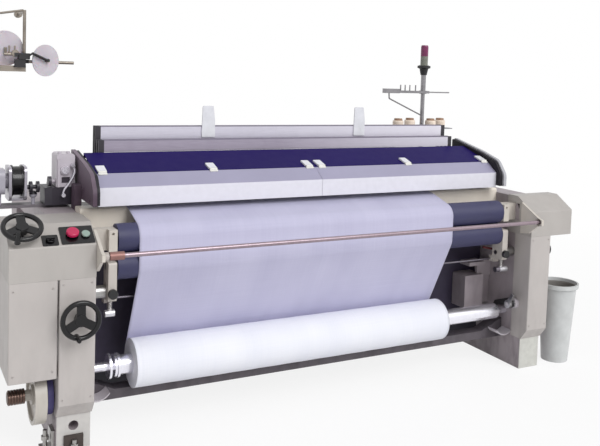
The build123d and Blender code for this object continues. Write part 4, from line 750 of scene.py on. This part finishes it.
# Painted shade: the tight run is the same cloth as the roll, given a darker, bluer copy for the shade under the hood
# and rollers.
shaded_tight_cloth = woven("shaded_tight_cloth", (200, 198, 222), (184, 182, 209))
across = np.linspace(cloth_left, cloth_right, 140)
run_way = unit(np.gradient(line, axis=0))
away = np.stack((run_way[:, 1], -run_way[:, 0]), -1)
wave = np.sin(across * 33 + 1.4 * np.sin(across * 12)) + 0.5 * np.sin(across * 71 + 1.0)
edge_near = np.exp(-np.minimum(across - cloth_left, cloth_right - across) / 0.012)
swell = free[:, None] * (0.0006 * wave + 0.0016 * edge_near)
spots = [line[:, part, None] + away[:, part, None] * swell for part in (0, 1)]
cloth_points = np.stack((np.broadcast_to(across, swell.shape), *spots), -1)
faces, corner_row, corner_column = grid_faces(*swell.shape)
cloth_uv = np.stack(((across - cloth_left)[corner_column], line_length[corner_row]), -1)
cloth = piece("woven_cloth", shaded_tight_cloth, cloth_points, faces.tolist(), "frame", cloth_uv, outward=False)
wall = cloth.modifiers.new("thickness", "SOLIDIFY")
wall.thickness = 0.0008
wall.offset = 0
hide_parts("cloth")
print("cloth grid", swell.shape)

# %% [markdown]
# Wound things. The cloth roll, the warp on its beam and the selvage bobbins are layers wound on a
# core. A closed outline of (x, radius) points is turned about the axis: a ring in both directions,
# with no seam or pole. Each layer of a real roll ends a little further in or out, so the end
# faces ripple as a spiral.

# %% The cloth roll and the wound warp
def wound(x_low, x_high, core_r, outer_r, centre, ripple, layers, sides=128, along=90):
    """A wound body about an X line: a rectangle outline turned once round, its ends rippled by a
    wave of the layer number, and its skin a touch uneven along the length."""
    up = np.linspace(0, 1, layers * 4)
    count = len(up)
    rise = (outer_r - core_r) * up
    radius = np.concatenate((core_r + rise, np.full(along, outer_r), outer_r - rise))
    skin = x_low + (x_high - x_low) * np.linspace(0, 1, along)
    x = np.concatenate((np.full(count, x_low), skin, np.full(count, x_high)))
    end_side = np.repeat((-1.0, 0.0, 1.0), (count, along, count))[:, None]
    angle = around(sides)
    share = ((radius - core_r) / (outer_r - core_r))[:, None]
    turns = share * layers - angle / (2 * np.pi)
    ripples = ripple * (np.sin(2 * np.pi * turns) + 0.6 * np.sin(2.3 * turns + 3 * angle))
    ripples = ripples * np.sqrt(np.maximum(share * (1 - share) * 4, 0))
    reach = radius[:, None] + 0.0004 * (end_side == 0) * np.sin(x * 41)[:, None]
    points = np.stack(
        (
            x[:, None] - end_side * np.abs(ripples),
            centre[0] + reach * np.sin(angle),
            centre[1] + reach * np.cos(angle),
        ),
        -1,
    )
    faces, corner_row, corner_column = grid_faces(len(x), sides, True, True)
    path = np.concatenate(([0], np.cumsum(np.hypot(np.diff(x), np.diff(radius))), [0]))
    path[-1] = path[-2] + 0.001
    girth = np.linspace(0, 2 * np.pi * outer_r, sides + 1)
    return points.reshape(-1, 3), faces.tolist(), np.stack((path[corner_row], girth[corner_column]), -1)


# Painted light: the roll's copy of the same cloth is near white, lit, against the darker tight run.
roll_cloth = woven("roll_cloth", (240, 241, 247), (228, 230, 240), sheen=0.15)
roll_core_r = 0.0423
roll_skin = wound(cloth_left, cloth_right, roll_core_r, roll_r - 0.0001, roll, 0.0012, 9)
roll_piece = piece("wound_cloth", roll_cloth, *roll_skin[:2], "roll", roll_skin[2])
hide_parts("cloth_roll")

warp_look = woven("wound_yarn", (244, 243, 248), (226, 224, 232), thread=0.002, depth=0.0003, sheen=0.2)
yarn_core_r = 0.0855
yarn_centre, yarn_r = round_piece("warp_yarn")
yarn_low, yarn_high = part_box("warp_yarn")
yarn_skin = wound(yarn_low.x + 0.0003, yarn_high.x - 0.0003, yarn_core_r, yarn_r - 0.0005, yarn_centre, 0.0003, 10)
yarn_piece = piece("wound_warp", warp_look, *yarn_skin[:2], "beam", yarn_skin[2])
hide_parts("warp_yarn")
print("roll of radius", round(roll_r, 4), "and warp of radius", round(yarn_r, 4))

# %% [markdown]
# Four selvage bobbins stand on the tray: cream yarn wound high, with a brown cap on top. Each is
# an outline turned about its upright axis, with small ridges where the yarn crosses itself. The
# outline is closed round the bore, so this too is a ring both ways.

# %% Selvage bobbins
bobbin_low, bobbin_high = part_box("bobbins")
bobbin_look = plastic("bobbin_yarn", "", (250, 233, 216), (226, 206, 188), 0.6, 0.0016, depth=0.0004, rub=0.2)
cap_start = bobbin_high.z - 0.0125
bobbin_look.zone((158, 122, 96), 0.45, Z=(cap_start, None))
bobbin_outline = np.array(
    [(0.0057, 0.0), (0.033, 0.0), (0.0346, 0.003), (0.0348, 0.012), (0.0346, 0.024), (0.0348, 0.036), (0.0342, 0.044),
     (0.030, 0.0475), (0.0262, 0.048), (0.0262, 0.0575), (0.024, 0.0600), (0.0057, 0.0600)]
)
outline_r, outline_z = bobbin_outline[:, 0, None], bobbin_outline[:, 1, None]
sides = 40
turn_angle = around(sides)
ring_r = outline_r * (1 + 0.006 * np.sin(5 * turn_angle + outline_z * 900))
ring_z = np.broadcast_to(bobbin_low.z + outline_z, ring_r.shape)
tray_y = (bobbin_low.y + bobbin_high.y) / 2
stagger = 0.022
faces = grid_faces(len(bobbin_outline), sides, True, True)[0].tolist()
lots = [
    (np.stack((x + ring_r * np.cos(turn_angle), y + ring_r * np.sin(turn_angle), ring_z), -1), faces)
    for x, y in zip((1.003, 1.124, 1.256, 1.366), (tray_y - stagger, tray_y + stagger) * 2)
]
bobbins = piece("selvage_bobbins", bobbin_look, *joined(*lots), "frame")
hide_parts("bobbins")
print("bobbins from", round(bobbin_low.z, 4), "to", round(bobbin_high.z, 4), "m")

# %% [markdown]
# The reed is a comb of thin steel dents between two bands. It beats each new weft against the
# cloth. One mesh holds all its dents: a row of boxes at an even pitch, with the bands and end
# bars as four larger boxes.

# %% The reed
dent_pitch = 0.008
dent_thick = 0.0008
end_bar = 0.012
reed_low, reed_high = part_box("reed")
band = 0.017
reed_x = np.arange(reed_low.x + 0.016, reed_high.x - 0.015, dent_pitch)
gap_low, gap_high = reed_low.z + band, reed_high.z - band
band_z = np.array(((reed_low.z, gap_low), (gap_high, reed_high.z))).T
bar_x = np.array((reed_low.x, reed_high.x - end_bar))
bands = boxes(reed_low.x, reed_high.x, reed_low.y, reed_high.y, *band_z)
bars = boxes(bar_x, bar_x + end_bar, reed_low.y + 0.0005, reed_high.y - 0.0005, gap_low, gap_high)
dents = boxes(
    reed_x - dent_thick / 2, reed_x + dent_thick / 2, reed_low.y + 0.001, reed_high.y - 0.001, gap_low, gap_high
)
reed_steel = metal("reed_steel", "", (190, 188, 186), (150, 148, 146), 0.3, (1, 1, 60))
reed = piece("fine_reed", reed_steel, *joined(bands, bars, dents), "sley", smooth=False)
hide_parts("reed")
print(len(reed_x), "dents")

# %% [markdown]
# Healds lift and lower the warp. Each is a flat steel wire with an eye in the middle, hung
# between two rods inside its frame. The four frames share the warp: every gap of the reed holds
# one thread of each frame. A frame's rails and side bars are plain boxes on the solid's own
# measures, and the finish eases their edges.

# %% Heald frames with their healds
gap_x = reed_x[:-1] + dent_pitch / 2
gap_x = gap_x[(gap_x > cloth_left + 0.006) & (gap_x < cloth_right - 0.006)]
thread_step = 0.0018
thread_x = [gap_x + (number - 1.5) * thread_step for number in range(4)]
rail_heights = (0.056, 0.056, 0.0625, 0.0625)
stave_wide = 0.026
rod_half, rod_near, rod_far = 0.0015, 0.009, 0.017
eye_half, eye_off = 0.006, 0.0009
wire_half, loop_half, wire_thick = 0.0006, 0.0003, 0.0005
eyes = []
heald_wire = metal("heald_wire", "", (188, 188, 190), (140, 140, 144), 0.3, (1, 1, 60))
rail_looks = []
# Painted light and shade: all four frames are one aluminium. The near pair get a darker copy and the far pair a
# lighter one.
for name, bright, dull, frame_name in (
    ("near_rails", (176, 168, 184), (150, 142, 158), "heald_frame_1"),
    ("far_rails", (214, 211, 224), (198, 195, 208), "heald_frame_3"),
):
    rail_look = metal(name, "", bright, dull, 0.42, long_lines, stains=0.1)
    rail_look.surface(Metallic=0.6)
    # Painted light: the rails grow paler towards the right, where the light comes from.
    painted_light_end = rail_look.step(rail_look.axis("X"), -0.1, 1.0) * 0.85
    rail_look.zone((234, 231, 241), 0.4, 0.4, dim=0.97, mask=painted_light_end)
    # Painted shade: a dark band along the top edge of the rails.
    rail_look.zone((134, 128, 144), 0.45, 0.5, Z=(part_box(frame_name)[1].z - 0.004, None))
    rail_look.zone((52, 49, 56), 0.5, mask=1.0 - rail_look.inside(X=(-0.996, 0.996)))
    rail_looks.append(rail_look)
for number in range(4):
    name = f"heald_frame_{number + 1}"
    low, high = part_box(name)
    middle = (low + high) / 2
    eyes.append(np.array((middle.y, middle.z)))
    in_left, in_right = low.x + stave_wide, high.x - stave_wide
    in_low, in_high = low.z + rail_heights[number], high.z - rail_heights[number]
    rod_y = (middle.y - rod_half, middle.y + rod_half)
    bars = np.array([
        (low.x, high.x, low.y, high.y, in_high, high.z),
        (low.x, high.x, low.y, high.y, low.z, in_low),
        (low.x, in_left, low.y, high.y, in_low, in_high),
        (in_right, high.x, low.y, high.y, in_low, in_high),
        (in_left, in_right, *rod_y, in_high - rod_far, in_high - rod_near),
        (in_left, in_right, *rod_y, in_low + rod_near, in_low + rod_far),
    ])
    rails = piece(f"rails_{number + 1}", rail_looks[number // 2], *boxes(*bars.T), f"heald_{number + 1}", smooth=False)
    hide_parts(name)
    lots = []
    for half, off, z_low, z_high in (
        (wire_half, 0.0, in_low + 0.005, middle.z - eye_half),
        (wire_half, 0.0, middle.z + eye_half, in_high - 0.005),
        (loop_half, -eye_off, middle.z - eye_half, middle.z + eye_half),
        (loop_half, eye_off, middle.z - eye_half, middle.z + eye_half),
    ):
        x = thread_x[number] + off
        lots.append(boxes(x - half, x + half, middle.y - wire_thick, middle.y + wire_thick, z_low, z_high))
    piece(f"healds_{number + 1}", heald_wire, *joined(*lots), f"heald_{number + 1}", smooth=False)
print(len(gap_x) * 4, "healds in four frames")

# %% [markdown]
# The warp. From the beam the threads rise over the back rest roller, run level over and under
# two lease rods, pass the heald eyes and the reed, and meet at the fell, where the cloth begins.
# Each span is a fixed piece; only the run over the lease rods rides on a body, the frame.

# %% Warp threads
def span(part, number, path, body=None):
    """The threads of one heald frame on one stretch of their way."""
    return piece(f"warp_{part}_{number + 1}", yarn_white, *threads(thread_x[number], path, thread_r), body)


thread_r = 0.00055
rest, rest_r = round_piece("back_roller")
rod_r = 0.007
rod_z = 0.958
rods = (np.array((front_y + 0.930, rod_z)), np.array((front_y + 0.990, rod_z)))
leave_beam_yarn, meet_rest = touching_run(yarn_centre, yarn_r + thread_r, rest, rest_r + thread_r)
yarn_white = plastic("warp_thread", "", (246, 245, 250), (230, 229, 236), gloss=0.5, rub=0.1)
leave_lean = -0.22
leave_rest = rest + (rest_r + thread_r) * np.array((leave_lean, np.sqrt(1 - leave_lean**2)))
rest_wrap = arc(rest, leave_rest, meet_rest, -1, 12)
for number in range(4):
    eye = eyes[number]
    over = 1 if number % 2 else -1
    first_pass = rods[0] + (0, over * (rod_r + thread_r))
    second_pass = rods[1] - (0, over * (rod_r + thread_r))
    front = span("front", number, straight(fell, eye))
    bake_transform(front)
    rear = span("rear", number, straight(eye, first_pass))
    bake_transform(rear)
    lease_run = span("lease", number, np.stack((first_pass, second_pass)), "frame")
    level = span("level", number, np.concatenate((second_pass[None], rest_wrap)))
    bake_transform(level)
    fall = span("fall", number, straight(meet_rest, leave_beam_yarn))
    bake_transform(fall)
    for run in (rear, lease_run, level, fall):
        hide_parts("cloth")
print(4 * len(gap_x), "warp threads")

# %% [markdown]
# Three small things. A rubber strip in the lids' own colours closes the gap between them: it is
# their outline set a little inward, carried across the gap. A black apron hangs from the foot of
# the splash plate: a dark sheet that paints shade into the gap beneath it. A thin arm on the weft
# stand holds the last thread eye.

# %% Lid strip, apron and thread arm
def ring_about(way, sides):
    """Unit steps square to a way, evenly round it."""
    side = unit(np.cross(way, (0.3, 0.5, 0.8)))
    spin = around(sides)[:, None]
    return np.cos(spin) * side + np.sin(spin) * np.cross(way, side)


def bar(start, end, radius, sides=16):
    """A round bar: a ring of points square to its line at both ends, closed by flat caps."""
    ring = radius * ring_about(unit(np.subtract(end, start)), sides)
    return np.concatenate((start + ring, end + ring)), tube_faces(2, sides)


lid_low, lid_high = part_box("left_lid")
hood_face = front_y + 0.2308
strip_thick = 0.002
fold = np.array((hood_face, fold_z - 0.0008))
strip_rear = fold + lid_slope * 0.089
inward = np.array((lid_slope[1], -lid_slope[0])) * strip_thick
foot = np.array((hood_face, lid_low.z + 0.001))
inner = [strip_rear + inward, fold + (strip_thick, -0.0014), foot + (strip_thick, 0)]
outline = np.array([foot, fold, strip_rear, *inner])
strip_x = (lid_high.x - 0.0003, lid_high.x + 0.0025)
strip_points = np.array([(x, y, z) for x in strip_x for y, z in outline])
piece("lid_strip", lid_paint, strip_points, tube_faces(2, len(outline)), "lid_left", smooth=False)

# Painted shade: the black apron is a dark sheet that fills the gap under the splash plate with shade.
painted_shade_apron = plastic("painted_shade_apron", "", (34, 31, 42), (60, 57, 66), gloss=0.6, grain=0.003, depth=0.0002)
tie_low, tie_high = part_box("tie_beams")
apron_y = front_y + 0.4052
apron_box = boxes(tie_low.x + 0.002, tie_high.x - 0.002, apron_y, apron_y + 0.0018, 0.118, 0.216)
piece("splash_apron", painted_shade_apron, *apron_box, "frame", smooth=False)

arm_start = np.array((-1.3552, front_y + 0.56, stand_high.z - 0.009))
arm_end = arm_start + (-0.148, 0.03, -0.027)
eye_end = arm_end + (-0.004, 0.012, -0.002)
arm = joined(bar(arm_start, arm_end, 0.005), bar(arm_end, eye_end, 0.013))
piece("thread_arm", stand_steel, *arm, "frame", smooth=False)
lid_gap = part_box("right_lid")[0].x - lid_high.x
print("the strip is", round(strip_x[1] - strip_x[0], 4), "m wide in a gap of", round(lid_gap, 4), "m")

# %% [markdown]
# A coil spring sits on the rod under each press lever: a small ring of points carried along a
# helix and kept square to it, with one side pointing away from the spring's axis.

# %% Springs of the press levers
def coil(centre, low, high, coil_r, wire_r, turns, steps=24, sides=8):
    """A closed-ended wire of radius wire_r on a helix of radius coil_r about an upright axis."""
    count = turns * steps + 1
    angle = np.linspace(0, 2 * np.pi * turns, count)
    out = np.stack((np.cos(angle), np.sin(angle), np.zeros(count)), -1)
    middle = np.array((*centre, 0.0)) + coil_r * out + np.linspace(low, high, count)[:, None] * (0, 0, 1)
    up = np.cross(out, unit(np.gradient(middle, axis=0)))
    spin = around(sides)[None, :, None]
    points = middle[:, None] + wire_r * (np.cos(spin) * out[:, None] + np.sin(spin) * up[:, None])
    return points.reshape(-1, 3), tube_faces(count, sides)


spring_steel = metal("spring_steel", "", (200, 199, 202), (150, 148, 150), 0.26, (1, 1, 1))
spring_y = lever_low.y + 0.038
spring_low, spring_high = lever_low.z + 0.033, lever_low.z + 0.066
lever_mid = 1.062
coil_r, wire_r = 0.0105, 0.0014
springs = [
    coil((side * lever_mid - 0.006, spring_y), spring_low, spring_high, coil_r, wire_r, turns=6) for side in (-1, 1)
]
piece("press_springs", spring_steel, *joined(*springs), "press_arms")
print("springs of six turns on", len(springs), "levers")

# %% [markdown]
# Pan-head screws hold the sheet covers and the hood's side plates, each lot in the paint of what
# it holds. Each screw is an outline of rings turned about its own axis, with a socket sunk in the
# middle.

# %% Screws
def screw_heads(places, way, size):
    """Pan-head screws: six rings of points round each place, turned about the way that it faces."""
    way = unit(way)
    ring_r = np.array((1.0, 1.0, 0.8, 0.42, 0.38, 0.001)) * size
    ring_h = np.array((-0.1, 0.28, 0.5, 0.56, 0.2, 0.2)) * size
    head = ring_r[:, None, None] * ring_about(way, 12) + ring_h[:, None, None] * way
    return joined(*[(head + place, tube_faces(6, 12)) for place in places])


door_low, door_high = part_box("left_door")
column_low, column_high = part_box("column_covers")
column_wide = 0.1426
from_side, from_end = 0.018, 0.03
door_places = [
    (x, door_low.y, z)
    for x in (door_low.x + from_side, door_high.x - from_side)
    for z in (door_low.z + from_end, door_high.z - from_end)
]
column_places = [
    (side * (column_high.x - inset), column_low.y, z)
    for side in (-1, 1)
    for inset in (0.016, column_wide - 0.016)
    for z in (0.25, column_high.z - 0.02)
]
lots = [screw_heads(door_places, (0, -1, 0), 0.0045), screw_heads(column_places, (0, -1, 0), 0.0042)]
screws = piece("cover_screws", cover_paint, *joined(*lots), "frame", weld=True, smooth=False)

hood_wall_x = 1.1283
hood_places = ((0.24, 1.0), (0.36, 1.03), (0.50, 1.03), (0.57, 1.12))
hood_lots = [
    screw_heads([(side * hood_wall_x, front_y + y, z) for y, z in hood_places], (side, 0, 0), 0.007)
    for side in (-1, 1)
]
hood_screws = piece("hood_screws", hood_side, *joined(*hood_lots), "frame", weld=True, smooth=False)
print(len(screws.data.polygons) + len(hood_screws.data.polygons), "faces in all the screws")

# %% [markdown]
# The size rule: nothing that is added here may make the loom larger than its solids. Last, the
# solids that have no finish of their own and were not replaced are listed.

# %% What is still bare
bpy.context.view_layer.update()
left = sorted(set(nodes) - dressed - {"cloth", "cloth_roll", "warp_yarn", "bobbins", "reed"})
print("still bare:", left)
